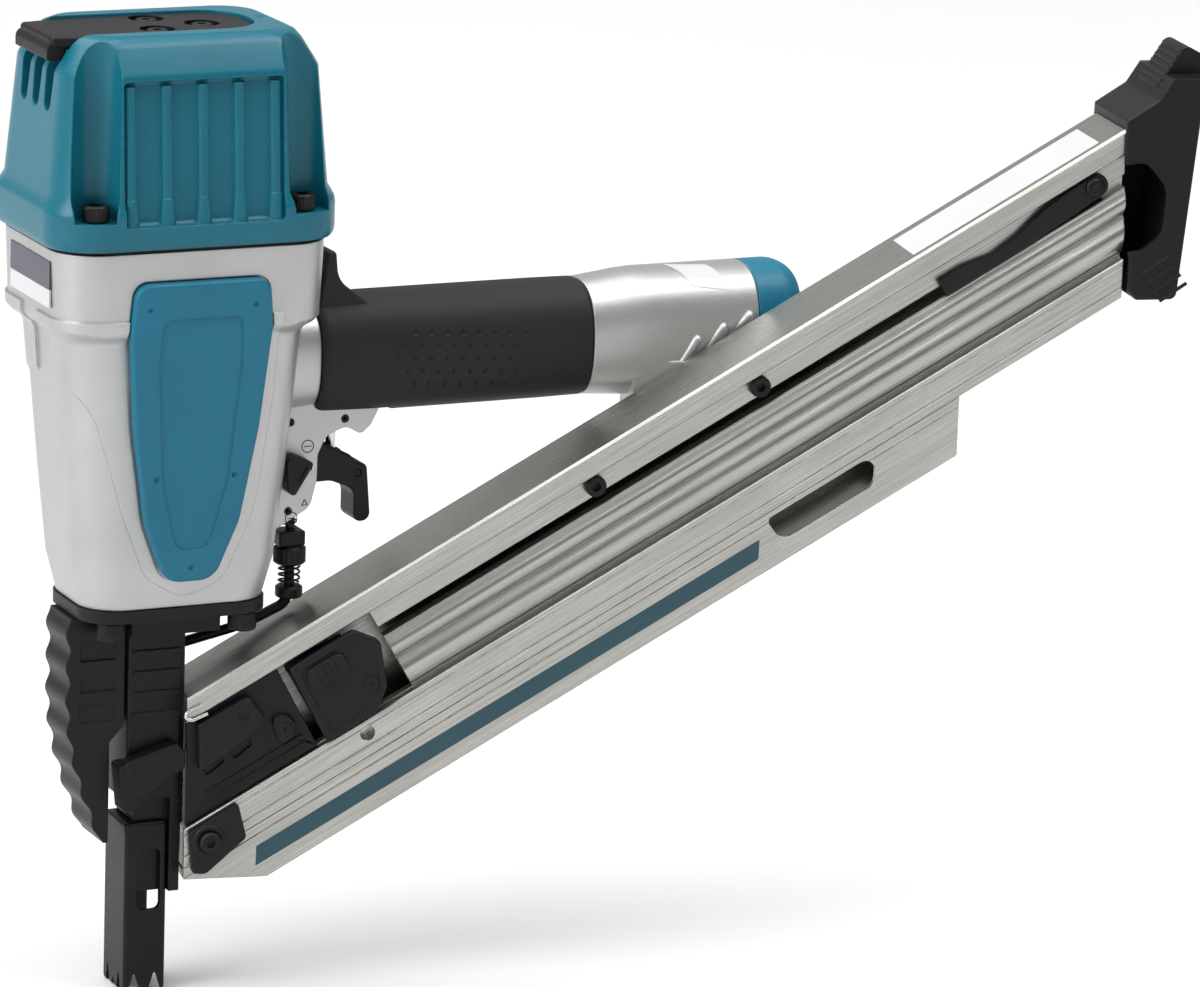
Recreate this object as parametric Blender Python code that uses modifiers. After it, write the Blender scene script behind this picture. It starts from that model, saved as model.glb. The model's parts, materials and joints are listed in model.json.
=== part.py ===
"""Pneumatic framing nailer, modelled as separate pieces around the driver's axis.

Working frame (millimetres): X runs from the nose towards the hose end of the handle,
Z runs up the driver's axis, and Z = 0 is the underside of the cylinder housing.
The frame empty moves all of it so that the middle of the hand grip is the world origin.
"""
import math

import bmesh
import bpy
from mathutils import Matrix, Vector

MM = 0.001
GAP = 0.3                      # running clearance between neighbours

# Hand grip centre in the working frame: the world origin.
GRIP_X, GRIP_Z = 120.0, 86.5

# Cylinder housing: (z, half length, half width, corner radius)
HOUSING_RINGS = ((0.0, 36.0, 24.5, 14.5), (15.0, 39.5, 27.0, 15.0), (50.0, 42.5, 30.0, 15.5),
                 (103.0, 46.5, 33.4, 16.0), (107.5, 52.0, 37.8, 17.0), (136.9, 53.0, 38.5, 17.0))
CAVITY_RINGS = ((10.0, 34.0, 23.3, 12.0), (50.0, 38.0, 25.5, 12.0), (104.0, 42.0, 29.0, 13.0),
                (112.0, 44.0, 30.5, 14.0), (138.0, 44.0, 30.5, 14.0))
CAP_RINGS = ((138.5, 55.0, 40.5, 18.0), (142.0, 56.3, 41.5, 18.5), (152.0, 56.3, 41.5, 18.5),
             (157.0, 53.8, 39.3, 18.0), (200.0, 50.0, 36.5, 17.0), (207.5, 48.8, 35.4, 16.5),
             (212.5, 45.5, 32.0, 15.0), (214.5, 40.0, 26.5, 13.0))
CAP_CAVITY_RINGS = ((137.0, 42.0, 29.0, 14.0), (172.0, 40.0, 27.5, 14.0), (196.0, 30.0, 20.0, 10.0))

CAP_BOLTS = [(sx * 40.0, sy * 33.8) for sx in (-1, 1) for sy in (-1, 1)]
CAP_BOLT_SEAT = 148.8
BASE_BOLTS = [(sx * 26.0, sy * 19.0) for sx in (-1, 1) for sy in (-1, 1)]
BASE_TOP, BASE_BOTTOM = -GAP, -5.0

# Handle along X.
HANDLE_Z = 86.5
CORE_HALF_Y, CORE_HALF_Z = 15.4, 18.9
GRIP_HALF_Y, GRIP_HALF_Z = 19.0, 22.5
GRIP_FRONT, GRIP_REAR = 57.0, 167.0
HANDLE_END = 236.0
END_HALF_Y, END_HALF_Z = 19.5, 24.3
END_CAP_LENGTH = 21.0
HANDLE_BORE = 10.0

# Drive: cylinder, piston and blade.
SLEEVE_OUT, SLEEVE_IN = 22.8, 20.5
SLEEVE_BOTTOM, SLEEVE_TOP = 10.3, 136.0
PISTON_TOP, PISTON_BOTTOM = 129.0, 118.0
BUMPER_TOP = 26.0
BLADE_RADIUS, BLADE_TIP = 3.4, -24.0

# Trigger group.
SLOT_HALF, BRACKET_HALF = 7.8, 10.2
PIVOT_X, PIVOT_Z = 46.5, 43.0
LEVER_PIN_X, LEVER_PIN_Z = 76.8, 40.8
VALVE_X = 68.0
ROD_X = 52.5
ROLL_PINS = ((47.5, 63.0), (VALVE_X + 1.5, 63.0), (47.3, 29.0))

# Magazine: slope and yaw of the rail, in its own frame X = along, Y = across, Z = square to it.
SLOPE, YAW = math.radians(30.5), math.radians(10.7)
RAIL_HALF, RAIL_TOP, RAIL_BOTTOM = 18.0, -36.5, -93.5
SKID_BOTTOM = -113.4
RAIL_FRONT, RAIL_REAR = 8.3, 366.0         # horizontal distances of the upright end cuts
SKID_REAR = 303.5
NOSE_FLOOR = -108.0                        # level underside of the skid's front
SLOT_TOP, SLOT_FLOOR = -53.0, -57.0        # the pusher's slot
CHANNEL_HALF = 8.5
MAGAZINE_BOLTS = ((160.0, -49.3), (232.5, -49.3))
STOP_PIVOT = (380.5, -50.0)
FRONT_BOLT = (-32.0, -88.5)

PAD_TILT = math.atan(7.6 / 94.0)


# ---------------------------------------------------------------- scene helpers

def clear_scene():
    for obj in list(bpy.data.objects):
        bpy.data.objects.remove(obj, do_unlink=True)


def new_collection(name):
    made = bpy.data.collections.new(name)
    bpy.context.scene.collection.children.link(made)
    return made


def new_frame(name, parent=None, location=(0, 0, 0), rotation=(0, 0, 0)):
    """An empty that carries the pieces of one group."""
    empty = bpy.data.objects.new(name, None)
    PARTS.objects.link(empty)
    empty.parent = parent
    empty.location = Vector(location) * MM
    empty.rotation_euler = rotation
    return empty


def new_material(name, colour, roughness, metallic):
    made = bpy.data.materials.new(name)
    made.use_nodes = True
    shader = made.node_tree.nodes["Principled BSDF"]
    shader.inputs["Base Color"].default_value = (*colour, 1.0)
    shader.inputs["Roughness"].default_value = roughness
    shader.inputs["Metallic"].default_value = metallic
    made.diffuse_color = (*colour, 1.0)
    return made


def tool_object(name, data, frame):
    """A working solid, kept with the cutters until it becomes a part."""
    obj = bpy.data.objects.new(name, data)
    CUTTERS.objects.link(obj)
    obj.parent = frame
    obj.hide_render = True
    obj.display_type = "WIRE"
    return obj


def face_outward(bm):
    """Turn the faces of one closed body consistently out."""
    bmesh.ops.recalc_face_normals(bm, faces=bm.faces)
    if bm.calc_volume(signed=True) < 0.0:
        bmesh.ops.reverse_faces(bm, faces=bm.faces)


def from_bmesh(name, bm, frame):
    face_outward(bm)
    bm.transform(Matrix.Scale(MM, 4))
    mesh = bpy.data.meshes.new(name)
    bm.to_mesh(mesh)
    bm.free()
    return tool_object(name, mesh, frame)


def make_part(obj, name, material, origin=None):
    """Name a working solid as a sub-part and put its origin on its joint's axis."""
    CUTTERS.objects.unlink(obj)
    PARTS.objects.link(obj)
    obj.hide_render = False
    obj.display_type = "TEXTURED"
    obj.name = name
    obj.data.name = name
    obj.data.materials.append(material)
    if origin is not None:
        shift = Vector(origin) * MM
        obj.data.transform(Matrix.Translation(-shift))
        obj.location = shift
    obj.data.shade_smooth()
    obj.data.set_sharp_from_angle(angle=math.radians(35))
    return obj


def boolean(obj, operation, others):
    for other in others:
        step = obj.modifiers.new(operation.lower(), "BOOLEAN")
        step.operation = operation
        step.object = other
        step.solver = "EXACT"
    return obj


def cut(obj, *others):
    return boolean(obj, "DIFFERENCE", others)


def join(obj, *others):
    return boolean(obj, "UNION", others)


def soften(obj, width, segments=1, angle=40):
    """Rounded edges on a working solid."""
    step = obj.modifiers.new("rounded", "BEVEL")
    step.width = width * MM
    step.segments = segments
    step.limit_method = "ANGLE"
    step.angle_limit = math.radians(angle)
    return obj


# ---------------------------------------------------------------- shapes

def block(frame, x, y, z, name="block"):
    bm = bmesh.new()
    bmesh.ops.create_cube(bm, size=1.0)
    size = Matrix.Diagonal((x[1] - x[0], y[1] - y[0], z[1] - z[0], 1.0))
    middle = Vector((sum(x), sum(y), sum(z))) / 2
    bm.transform(Matrix.Translation(middle) @ size)
    return from_bmesh(name, bm, frame)


def rod(frame, start, end, radius, sides=20, end_radius=None, name="rod"):
    """A cylinder or cone between two points."""
    start, end = Vector(start), Vector(end)
    axis = end - start
    bm = bmesh.new()
    bmesh.ops.create_cone(bm, cap_ends=True, segments=sides, radius1=radius,
                          radius2=radius if end_radius is None else end_radius, depth=axis.length)
    turn = axis.to_track_quat("Z", "Y").to_matrix().to_4x4()
    bm.transform(Matrix.Translation((start + end) / 2) @ turn)
    return from_bmesh(name, bm, frame)


def fillet(corners, arc_steps=4):
    """Points (x, y) or (x, y, radius) as an outline with its corners rounded."""
    outline = []
    count = len(corners)
    for i, corner in enumerate(corners):
        here = Vector(corner[:2])
        radius = corner[2] if len(corner) > 2 else 0.0
        if radius == 0.0:
            outline.append(here)
            continue
        before = (Vector(corners[i - 1][:2]) - here).normalized()
        after = (Vector(corners[(i + 1) % count][:2]) - here).normalized()
        half = before.angle(after) / 2
        centre = here + (before + after).normalized() * (radius / math.sin(half))
        reach = radius / math.tan(half)
        first = here + before * reach - centre
        sweep = first.angle_signed(here + after * reach - centre)
        for k in range(arc_steps + 1):
            outline.append(centre + Matrix.Rotation(-sweep * k / arc_steps, 2) @ first)
    return outline


def plate(frame, outline, low, high, plane="XZ", name="plate"):
    """A flat outline given thickness from low to high, square to its plane."""
    curve = bpy.data.curves.new(name, "CURVE")
    curve.dimensions = "2D"
    curve.fill_mode = "BOTH"
    curve.extrude = (high - low) / 2 * MM
    spline = curve.splines.new("POLY")
    spline.points.add(len(outline) - 1)
    for point, place in zip(spline.points, outline):
        point.co = (place[0] * MM, place[1] * MM, 0.0, 1.0)
    spline.use_cyclic_u = True
    middle = (low + high) / 2 * MM
    lay = Matrix.Translation((0, 0, middle))
    if plane == "XZ":
        lay = Matrix.Translation((0, middle, 0)) @ Matrix.Rotation(math.pi / 2, 4, "X")
    if plane == "YZ":
        lay = (Matrix.Translation((middle, 0, 0)) @ Matrix.Rotation(math.pi / 2, 4, "Z")
               @ Matrix.Rotation(math.pi / 2, 4, "X"))
    return curve_to_solid(name, curve, frame, lay)


def curve_to_solid(name, curve, frame, lay=Matrix.Identity(4)):
    """The welded mesh of a curve, laid in place in its frame."""
    guide = bpy.data.objects.new(name, curve)
    CUTTERS.objects.link(guide)
    bpy.context.view_layer.update()
    evaluated = guide.evaluated_get(bpy.context.evaluated_depsgraph_get())
    mesh = bpy.data.meshes.new_from_object(evaluated)
    bpy.data.objects.remove(guide)
    bpy.data.curves.remove(curve)
    bm = bmesh.new()
    bm.from_mesh(mesh)
    bmesh.ops.remove_doubles(bm, verts=bm.verts, dist=1e-6)
    bm.transform(lay)
    face_outward(bm)
    bm.to_mesh(mesh)
    bm.free()
    mesh.name = name
    return tool_object(name, mesh, frame)


def wire(frame, points, radius, name="wire", fineness=2):
    """A round bar along the points."""
    curve = bpy.data.curves.new(name, "CURVE")
    curve.dimensions = "3D"
    curve.bevel_depth = radius * MM
    curve.bevel_resolution = fineness
    curve.use_fill_caps = True
    spline = curve.splines.new("POLY")
    spline.points.add(len(points) - 1)
    for point, place in zip(spline.points, points):
        point.co = (*(Vector(place) * MM), 1.0)
    return curve_to_solid(name, curve, frame)


def coil(frame, centre, radius, wire_radius, low, high, turns, name="coil"):
    """A round-wire compression spring about an axis along Z."""
    per_turn = 9
    points = []
    for k in range(turns * per_turn + 1):
        angle = math.tau * k / per_turn
        rise = low + wire_radius + (high - low - 2 * wire_radius) * k / (turns * per_turn)
        points.append((centre[0] + radius * math.cos(angle), centre[1] + radius * math.sin(angle), rise))
    return wire(frame, points, wire_radius, name, fineness=0)


def turned(frame, profile, location, rotation=(0, 0, 0), steps=24, closed=False, name="turned"):
    """A profile of (radius, height), outer side from top to bottom, turned about Z."""
    mesh = bpy.data.meshes.new(name)
    points = [(radius * MM, 0.0, height * MM) for radius, height in profile]
    edges = [(i, i + 1) for i in range(len(points) - 1)]
    if closed:
        edges.append((len(points) - 1, 0))
    mesh.from_pydata(points, edges, [])
    obj = tool_object(name, mesh, frame)
    obj.location = Vector(location) * MM
    obj.rotation_euler = rotation
    step = obj.modifiers.new("turned", "SCREW")
    step.axis = "Z"
    step.angle = math.tau
    step.screw_offset = 0.0
    step.steps = steps
    step.render_steps = steps
    step.use_merge_vertices = True
    step.merge_threshold = 1e-5
    return obj


def ring_profile(inner, outer, low, high):
    return [(outer, high), (outer, low), (inner, low), (inner, high)]


def rounded_rectangle(half_x, half_y, radius, arc_steps=4):
    return fillet([(half_x, -half_y, radius), (half_x, half_y, radius),
                   (-half_x, half_y, radius), (-half_x, -half_y, radius)], arc_steps)


def oval(half_y, half_z, power=2.5, count=20):
    """A squared ellipse."""
    points = []
    for k in range(count):
        angle = math.tau * k / count
        c, s = math.cos(angle), math.sin(angle)
        points.append((half_y * math.copysign(abs(c) ** (2 / power), c),
                       half_z * math.copysign(abs(s) ** (2 / power), s)))
    return points


def loft(frame, rings, name="loft"):
    """A closed skin over matching rings of points, flat at both ends."""
    bm = bmesh.new()
    rows = [[bm.verts.new(point) for point in ring] for ring in rings]
    count = len(rows[0])
    for low, high in zip(rows, rows[1:]):
        for i in range(count):
            j = (i + 1) % count
            bm.faces.new((low[i], low[j], high[j], high[i]))
    bm.faces.new(rows[0])
    bm.faces.new(rows[-1])
    return from_bmesh(name, bm, frame)


def upright_loft(frame, sections, name="loft"):
    """Rounded rectangles stacked along Z."""
    rings = [[(p[0], p[1], z) for p in rounded_rectangle(half_x, half_y, radius)]
             for z, half_x, half_y, radius in sections]
    return loft(frame, rings, name)


def handle_loft(frame, sections, name="handle"):
    """Ovals along X, as (x, centre z, half y, half z)."""
    rings = [[(x, y, centre + z) for y, z in oval(half_y, half_z)]
             for x, centre, half_y, half_z in sections]
    return loft(frame, rings, name)


def cap_screw(frame, name, location, head, shank, socket, material, rotation=(0, 0, 0), steps=12):
    """A socket screw: head (radius, height), shank (radius, length), seat at the location."""
    profile = [(0.0, head[1]), (head[0], head[1]), (head[0], 0.0),
               (shank[0], 0.0), (shank[0], -shank[1]), (0.0, -shank[1])]
    screw = turned(frame, profile, location, rotation, steps)
    key = rod(frame, (0, 0, head[1] * 0.4), (0, 0, head[1] + 1.0), socket, sides=6, name="hex key")
    key.location, key.rotation_euler = screw.location, screw.rotation_euler
    cut(screw, key)
    return make_part(screw, name, material)


def along_rail(horizontal, height):
    """Rail coordinates (along, square) of a point in the magazine's upright plane."""
    return (horizontal * math.cos(SLOPE) + height * math.sin(SLOPE),
            -horizontal * math.sin(SLOPE) + height * math.cos(SLOPE))


def on_upright(horizontal, square):
    """The point at the given square height on an upright line."""
    return (horizontal / math.cos(SLOPE) + square * math.tan(SLOPE), square)


# ---------------------------------------------------------------- casting

def foot_block():
    """The handle's foot, which bolts to the far side of the magazine."""
    face = RAIL_HALF + GAP
    outline = fillet([(185, 78), (185, 40, 4), (198, 33, 6), (230, 56, 6), (230, 78)])
    return plate(YAWED, outline, face, face + 19.0, name="foot")


def bracket_block():
    """The trigger bracket under the front of the handle."""
    outline = fillet([(30, 76), (30, 20), (38, 20), (48, 25.5, 6), (56, 30, 6), (58.5, 40, 4),
                      (58.7, 50, 4), (62, 57, 6), (70, 60, 4), (76, 56.5, 2.5), (80, 60, 3), (86, 72)])
    return plate(TOOL, outline, -BRACKET_HALF, BRACKET_HALF, name="bracket")


def main_housing(material):
    housing = upright_loft(TOOL, HOUSING_RINGS, "housing")
    handle = handle_loft(TOOL, ((34, HANDLE_Z, CORE_HALF_Y, CORE_HALF_Z),
                                (GRIP_REAR + GAP, HANDLE_Z, CORE_HALF_Y, CORE_HALF_Z),
                                (GRIP_REAR + 2 * GAP, HANDLE_Z, 18.6, 22.2),
                                (178, HANDLE_Z + 0.2, 19.0, 23.2),
                                (192, HANDLE_Z + 0.5, END_HALF_Y, END_HALF_Z),
                                (HANDLE_END, HANDLE_Z + 0.5, END_HALF_Y, END_HALF_Z)))
    root = handle_loft(TOOL, ((30, HANDLE_Z - 1, 24.0, 22.0), (49, HANDLE_Z, 17.5, 20.0),
                              (GRIP_FRONT - GAP, HANDLE_Z, CORE_HALF_Y + 1.2, CORE_HALF_Z + 0.8)), "root")
    ribs = [rod(TOOL, (x, -16.5, 68 + 7 * k), (x + 11, -19.2, 86 + 4 * k), 1.6, sides=8, name="rib")
            for k, x in enumerate((199, 210, 221))]
    join(housing, handle, root, foot_block(), bracket_block(), *ribs)
    cut(housing, upright_loft(TOOL, CAVITY_RINGS, "cavity"),
        rod(TOOL, (0, 0, -2), (0, 0, 12), 14.0, name="floor hole"),
        rod(TOOL, (36, 0, HANDLE_Z), (HANDLE_END + 2, 0, HANDLE_Z), HANDLE_BORE, name="air way"),
        block(TOOL, (42.8, 92), (-SLOT_HALF, SLOT_HALF), (10, 66), "trigger slot"),
        rod(TOOL, (VALVE_X, 0, 60), (VALVE_X, 0, 80), 7.3, name="valve bore"))
    join(housing, block(TOOL, (49.5, 57.8), (-SLOT_HALF - 0.5, SLOT_HALF + 0.5), (33.5, 36.5), "web"))
    cut(housing, rod(TOOL, (ROD_X, 0, 32), (ROD_X, 0, 38), 2.3, sides=14, name="rod hole"))
    cut(housing, rod(TOOL, (PIVOT_X, -12, PIVOT_Z), (PIVOT_X, 12, PIVOT_Z), 2.8, sides=14, name="pivot"))
    for x, z in ROLL_PINS:
        cut(housing, rod(TOOL, (x, -12, z), (x, 12, z), 1.6, sides=14, name="pin hole"))
    for x, y in CAP_BOLTS:
        cut(housing, rod(TOOL, (x, y, 118), (x, y, 140), 3.3, sides=12, name="cap bolt hole"))
    for x, y in BASE_BOLTS:
        cut(housing, rod(TOOL, (x, y, -2), (x, y, 8.5), 3.3, sides=12, name="base bolt hole"))
    for frame, side in PAD_FRAMES:
        cut(housing, pad_plate(frame, side, -0.4, 9.0, grow=0.5))
    return make_part(housing, "main_housing", material)


def roll_pins(material):
    for number, (x, z) in enumerate(ROLL_PINS, start=1):
        pin = rod(TOOL, (x, -BRACKET_HALF + 0.5, z), (x, BRACKET_HALF - 0.5, z), 1.3, sides=10)
        make_part(pin, f"roll_pin_{number}", material, (x, 0, z))


# ---------------------------------------------------------------- side pads

def pad_outline(grow=0.0):
    """Shield outline in the pad's own plane, wide at the top and round at the foot."""
    g = grow
    return fillet([(-26.0 - g, 126.5 + g, 6), (-27.8 - g, 108, 12), (-24.4 - g, 70, 40),
                   (-18.5 - g, 34, 30), (-9.5 - g, 11.5 - g, 8.5), (9.5 + g, 11.5 - g, 8.5),
                   (18.5 + g, 34, 30), (24.4 + g, 70, 40), (27.8 + g, 108, 12),
                   (26.0 + g, 126.5 + g, 6)], arc_steps=3)


def pad_plate(frame, side, inner, outer, grow=0.0):
    low, high = sorted((side * inner, side * outer))
    return plate(frame, pad_outline(grow), low, high, name="pad")


def side_pads(material):
    for (frame, side), name in zip(PAD_FRAMES, ("side_pad_left", "side_pad_right")):
        pad = pad_plate(frame, side, 0.0, 4.6)
        outline = fillet([(-15.5, 113, 4), (-16.5, 96, 12), (-13.0, 50, 30), (-6.5, 24, 6), (6.5, 24, 6),
                          (13.0, 50, 30), (16.5, 96, 12), (15.5, 113, 4)], arc_steps=3)
        low, high = sorted((side * 3.7, side * 6.0))
        cut(pad, plate(frame, outline, low, high, name="pad recess"))
        make_part(pad, name, material)


# ---------------------------------------------------------------- cap and exhaust

def deflector_outline(grow=0.0):
    return fillet([(-51.5 - grow, -16.5 - grow, 2), (-36, -19.5 - grow, 8), (31.0 + grow, -19.5 - grow, 17),
                   (31.0 + grow, 19.5 + grow, 17), (-36, 19.5 + grow, 8), (-51.5 - grow, 16.5 + grow, 2)], 4)


def vent_cutter(y):
    """A tapering exhaust slot in the cap's front."""
    outline = [(y - 4.6, 206.5), (y + 4.6, 206.5), (y + 3.2, 184.0)]
    return plate(TOOL, outline, -58.0, -42.0, plane="YZ", name="vent")


def top_cap(material):
    cap = upright_loft(TOOL, CAP_RINGS, "cap")
    cut(cap, upright_loft(TOOL, CAP_CAVITY_RINGS, "cap cavity"))
    ribs = []
    for side in (-1, 1):
        outline = [(side * 38.4, 143.5), (side * 34.0, 201.0), (side * 60.0, 201.0), (side * 60.0, 143.5)]
        cut(cap, plate(TOOL, outline, -31.0, 31.0, plane="YZ", name="panel"))
        ribs += [rod(TOOL, (x, side * 38.0, 144.0), (x, side * 34.1, 199.5), 2.5, sides=8, name="rib")
                 for x in (-28, -14, 0, 14, 28)]
    join(cap, *ribs)
    for x, y in CAP_BOLTS:
        channel = rod(TOOL, (x * 1.02, y * 1.04, CAP_BOLT_SEAT), (x, y * 1.02, 222.0), 8.8, name="channel")
        cut(cap, channel, rod(TOOL, (x, y, 136), (x, y, 150), 3.3, sides=12, name="bolt hole"))
    cut(cap, plate(TOOL, deflector_outline(0.4), 209.0, 222.0, plane="XY", name="deflector seat"),
        block(TOOL, (-60.0, -45.6), (-17.0, 17.0), (204.6, 216.0), "deflector mouth"))
    cut(cap, *[vent_cutter(y) for y in (-12.0, 0.0, 12.0)])
    for x, y in deflector_screw_places():
        cut(cap, rod(TOOL, (x, y, 201), (x, y, 212), 2.2, sides=10, name="screw hole"))
    return make_part(cap, "top_cap", material)


def deflector_screw_places():
    return [(12.4 * math.cos(math.radians(a)), 12.4 * math.sin(math.radians(a))) for a in (-10, 110, 230)]


def exhaust_deflector(material):
    deflector = plate(TOOL, deflector_outline(), 209.3, 213.6, plane="XY", name="deflector")
    join(deflector, block(TOOL, (-53.0, -46.0), (-16.4, 16.4), (205.0, 211.5), "lip"))
    for x, y in deflector_screw_places():
        cut(deflector, rod(TOOL, (x, y, 211.2), (x, y, 215), 6.6, name="recess"),
            rod(TOOL, (x, y, 208), (x, y, 212), 2.4, sides=12, name="screw hole"))
    make_part(deflector, "exhaust_deflector", material)


def cap_gasket(material):
    gasket = plate(TOOL, rounded_rectangle(52.5, 38.0, 17.0), 137.2, 138.2, plane="XY", name="gasket")
    cut(gasket, plate(TOOL, rounded_rectangle(44.5, 31.0, 14.0), 136, 140, plane="XY", name="opening"))
    for x, y in CAP_BOLTS:
        cut(gasket, rod(TOOL, (x, y, 136), (x, y, 140), 3.3, sides=12, name="bolt hole"))
    make_part(gasket, "cap_gasket", material)


# ---------------------------------------------------------------- handle

def handle_grip(material):
    low = HANDLE_Z
    grip = handle_loft(TOOL, ((GRIP_FRONT, low, GRIP_HALF_Y - 1.5, GRIP_HALF_Z - 1.6),
                              (GRIP_FRONT + 2.5, low, GRIP_HALF_Y, GRIP_HALF_Z - 0.6),
                              (78, low, GRIP_HALF_Y, GRIP_HALF_Z),
                              (112, low, GRIP_HALF_Y + 0.6, GRIP_HALF_Z),
                              (150, low, GRIP_HALF_Y, GRIP_HALF_Z),
                              (GRIP_REAR, low, GRIP_HALF_Y - 0.2, GRIP_HALF_Z - 0.2)), "grip")
    saddle = plate(TOOL, fillet([(GRIP_FRONT, 100), (GRIP_FRONT + 3.5, 127.5, 1.5), (64.5, 127.0, 2.0),
                                 (65.5, 116, 10), (76, 108, 8), (86, 104)]), -11.0, 11.0, name="saddle")
    join(grip, saddle)
    cut(grip, handle_loft(TOOL, ((GRIP_FRONT - 5, low, CORE_HALF_Y + GAP, CORE_HALF_Z + GAP),
                                 (GRIP_REAR + 3, low, CORE_HALF_Y + GAP, CORE_HALF_Z + GAP)), "core space"),
        block(TOOL, (GRIP_FRONT - 3, 90), (-BRACKET_HALF - GAP, BRACKET_HALF + GAP), (55, 73), "opening"))
    make_part(grip, "handle_grip", material)


def handle_end_cap(material):
    start = HANDLE_END + GAP
    end = HANDLE_END + END_CAP_LENGTH
    centre = HANDLE_Z + 0.5
    cap = handle_loft(TOOL, ((start, centre, END_HALF_Y, END_HALF_Z),
                             (end - 9, centre, END_HALF_Y, END_HALF_Z),
                             (end - 3, centre, END_HALF_Y - 2.2, END_HALF_Z - 2.6),
                             (end, centre, END_HALF_Y - 5.5, END_HALF_Z - 6.8)), "end cap")
    cut(cap, rod(TOOL, (start - 2, 0, HANDLE_Z), (end + 2, 0, HANDLE_Z), 8.2, name="plug bore"))
    make_part(cap, "handle_end_cap", material)


def air_plug(material):
    """Inlet fitting: threaded shank, hexagon and the male plug that a hose coupler grips."""
    end = HANDLE_END + END_CAP_LENGTH
    plug = turned(TOOL, [(0, 27), (3.6, 27), (5.6, 25.5), (5.6, 21), (4.6, 20), (4.6, 16), (5.9, 15),
                         (5.9, 5.3), (7.8, 5.3), (7.8, -22), (0, -22)],
                  (end, 0, HANDLE_Z), (0, math.pi / 2, 0), steps=20)
    join(plug, rod(TOOL, (end + GAP, 0, HANDLE_Z), (end + 5.3, 0, HANDLE_Z), 10.4, sides=6, name="hexagon"))
    cut(plug, rod(TOOL, (end - 30, 0, HANDLE_Z), (end + 30, 0, HANDLE_Z), 2.4, sides=12, name="air hole"))
    make_part(plug, "air_plug", material)


# ---------------------------------------------------------------- drive

def drive_parts(steel, rubber, alloy):
    sleeve = turned(TOOL, ring_profile(SLEEVE_IN, SLEEVE_OUT, SLEEVE_BOTTOM, SLEEVE_TOP), (0, 0, 0),
                    closed=True, steps=32)
    make_part(sleeve, "cylinder_sleeve", alloy)
    bumper = turned(TOOL, [(20.0, BUMPER_TOP - 2), (20.0, SLEEVE_BOTTOM), (6.0, SLEEVE_BOTTOM),
                           (6.0, BUMPER_TOP), (17.0, BUMPER_TOP)], (0, 0, 0), closed=True)
    make_part(bumper, "bumper", rubber)
    top = PISTON_TOP - PISTON_BOTTOM
    bore = BLADE_RADIUS + GAP
    piston = turned(TOOL, [(0, top), (20.1, top), (20.1, 8.2), (18.2, 8.2), (18.2, 4.8), (20.1, 4.8),
                           (20.1, 0), (9, 0), (7, -4), (bore, -4), (bore, 3), (0, 3)],
                    (0, 0, PISTON_BOTTOM), steps=28)
    make_part(piston, "piston", alloy)
    seal = turned(TOOL, ring_profile(18.5, 20.25, 5.1, 7.9), (0, 0, PISTON_BOTTOM), closed=True, steps=28)
    make_part(seal, "piston_ring", rubber)
    blade = rod(TOOL, (0, 0, BLADE_TIP), (0, 0, PISTON_BOTTOM + 2.7), BLADE_RADIUS, sides=14)
    make_part(blade, "driver_blade", steel, (0, 0, PISTON_BOTTOM))


def head_valve_parts(alloy, steel):
    valve = turned(TOOL, [(0, 13), (14.0, 13), (14.0, 7), (24.0, 7), (24.0, 0), (17.0, 0), (15.0, 3),
                          (0, 3)], (0, 0, 139.0), steps=28)
    make_part(valve, "head_valve", alloy)
    spring = coil(TOOL, (0, 0), 16.4, 1.1, 146.4, 195.5, 4, "head valve spring")
    make_part(spring, "head_valve_spring", steel)


# ---------------------------------------------------------------- trigger group

def trigger(material):
    outline = fillet([(41.8, 43, 4), (46.5, 48.5, 4.5), (56, 51.5, 4), (62.5, 53.4, 1), (73.7, 47.8, 1.5),
                      (75.6, 45.4, 1), (80.5, 43.6, 2.5), (82.4, 22.0, 3.2), (75.4, 21.6, 3),
                      (75.4, 34.4, 5), (66, 38.4, 8), (52, 38.2, 3), (46, 37.2, 4)], arc_steps=2)
    body = plate(TOOL, outline, -6.9, 6.9, name="trigger")
    cut(body, block(TOOL, (49.3, 72.5), (-4.2, 4.2), (30, 60), "lever slot"),
        block(TOOL, (70.0, 79.5), (-4.2, 4.2), (37.6, 60), "lever slot rear"),
        rod(TOOL, (PIVOT_X, -9, PIVOT_Z), (PIVOT_X, 9, PIVOT_Z), 2.75, sides=14, name="pivot hole"),
        rod(TOOL, (LEVER_PIN_X, -9, LEVER_PIN_Z), (LEVER_PIN_X, 9, LEVER_PIN_Z), 1.6, sides=10, name="pin"))
    make_part(body, "trigger", material, (PIVOT_X, 0, PIVOT_Z))


def trigger_lever(steel):
    outline = fillet([(49.6, 43.2, 1), (70, 39.6, 3), (77, 38.5, 1.8), (78.8, 41, 1.8), (77, 43.2, 1.8),
                      (68, 44.2, 3), (50, 46.0, 1)], arc_steps=3)
    lever = plate(TOOL, outline, -3.7, 3.7, name="lever")
    cut(lever, rod(TOOL, (LEVER_PIN_X, -9, LEVER_PIN_Z), (LEVER_PIN_X, 9, LEVER_PIN_Z), 1.6, sides=10))
    make_part(lever, "trigger_lever", steel, (LEVER_PIN_X, 0, LEVER_PIN_Z))
    pin = rod(TOOL, (LEVER_PIN_X, -6.6, LEVER_PIN_Z), (LEVER_PIN_X, 6.6, LEVER_PIN_Z), 1.3, sides=10)
    make_part(pin, "lever_pin", steel, (LEVER_PIN_X, 0, LEVER_PIN_Z))


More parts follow.
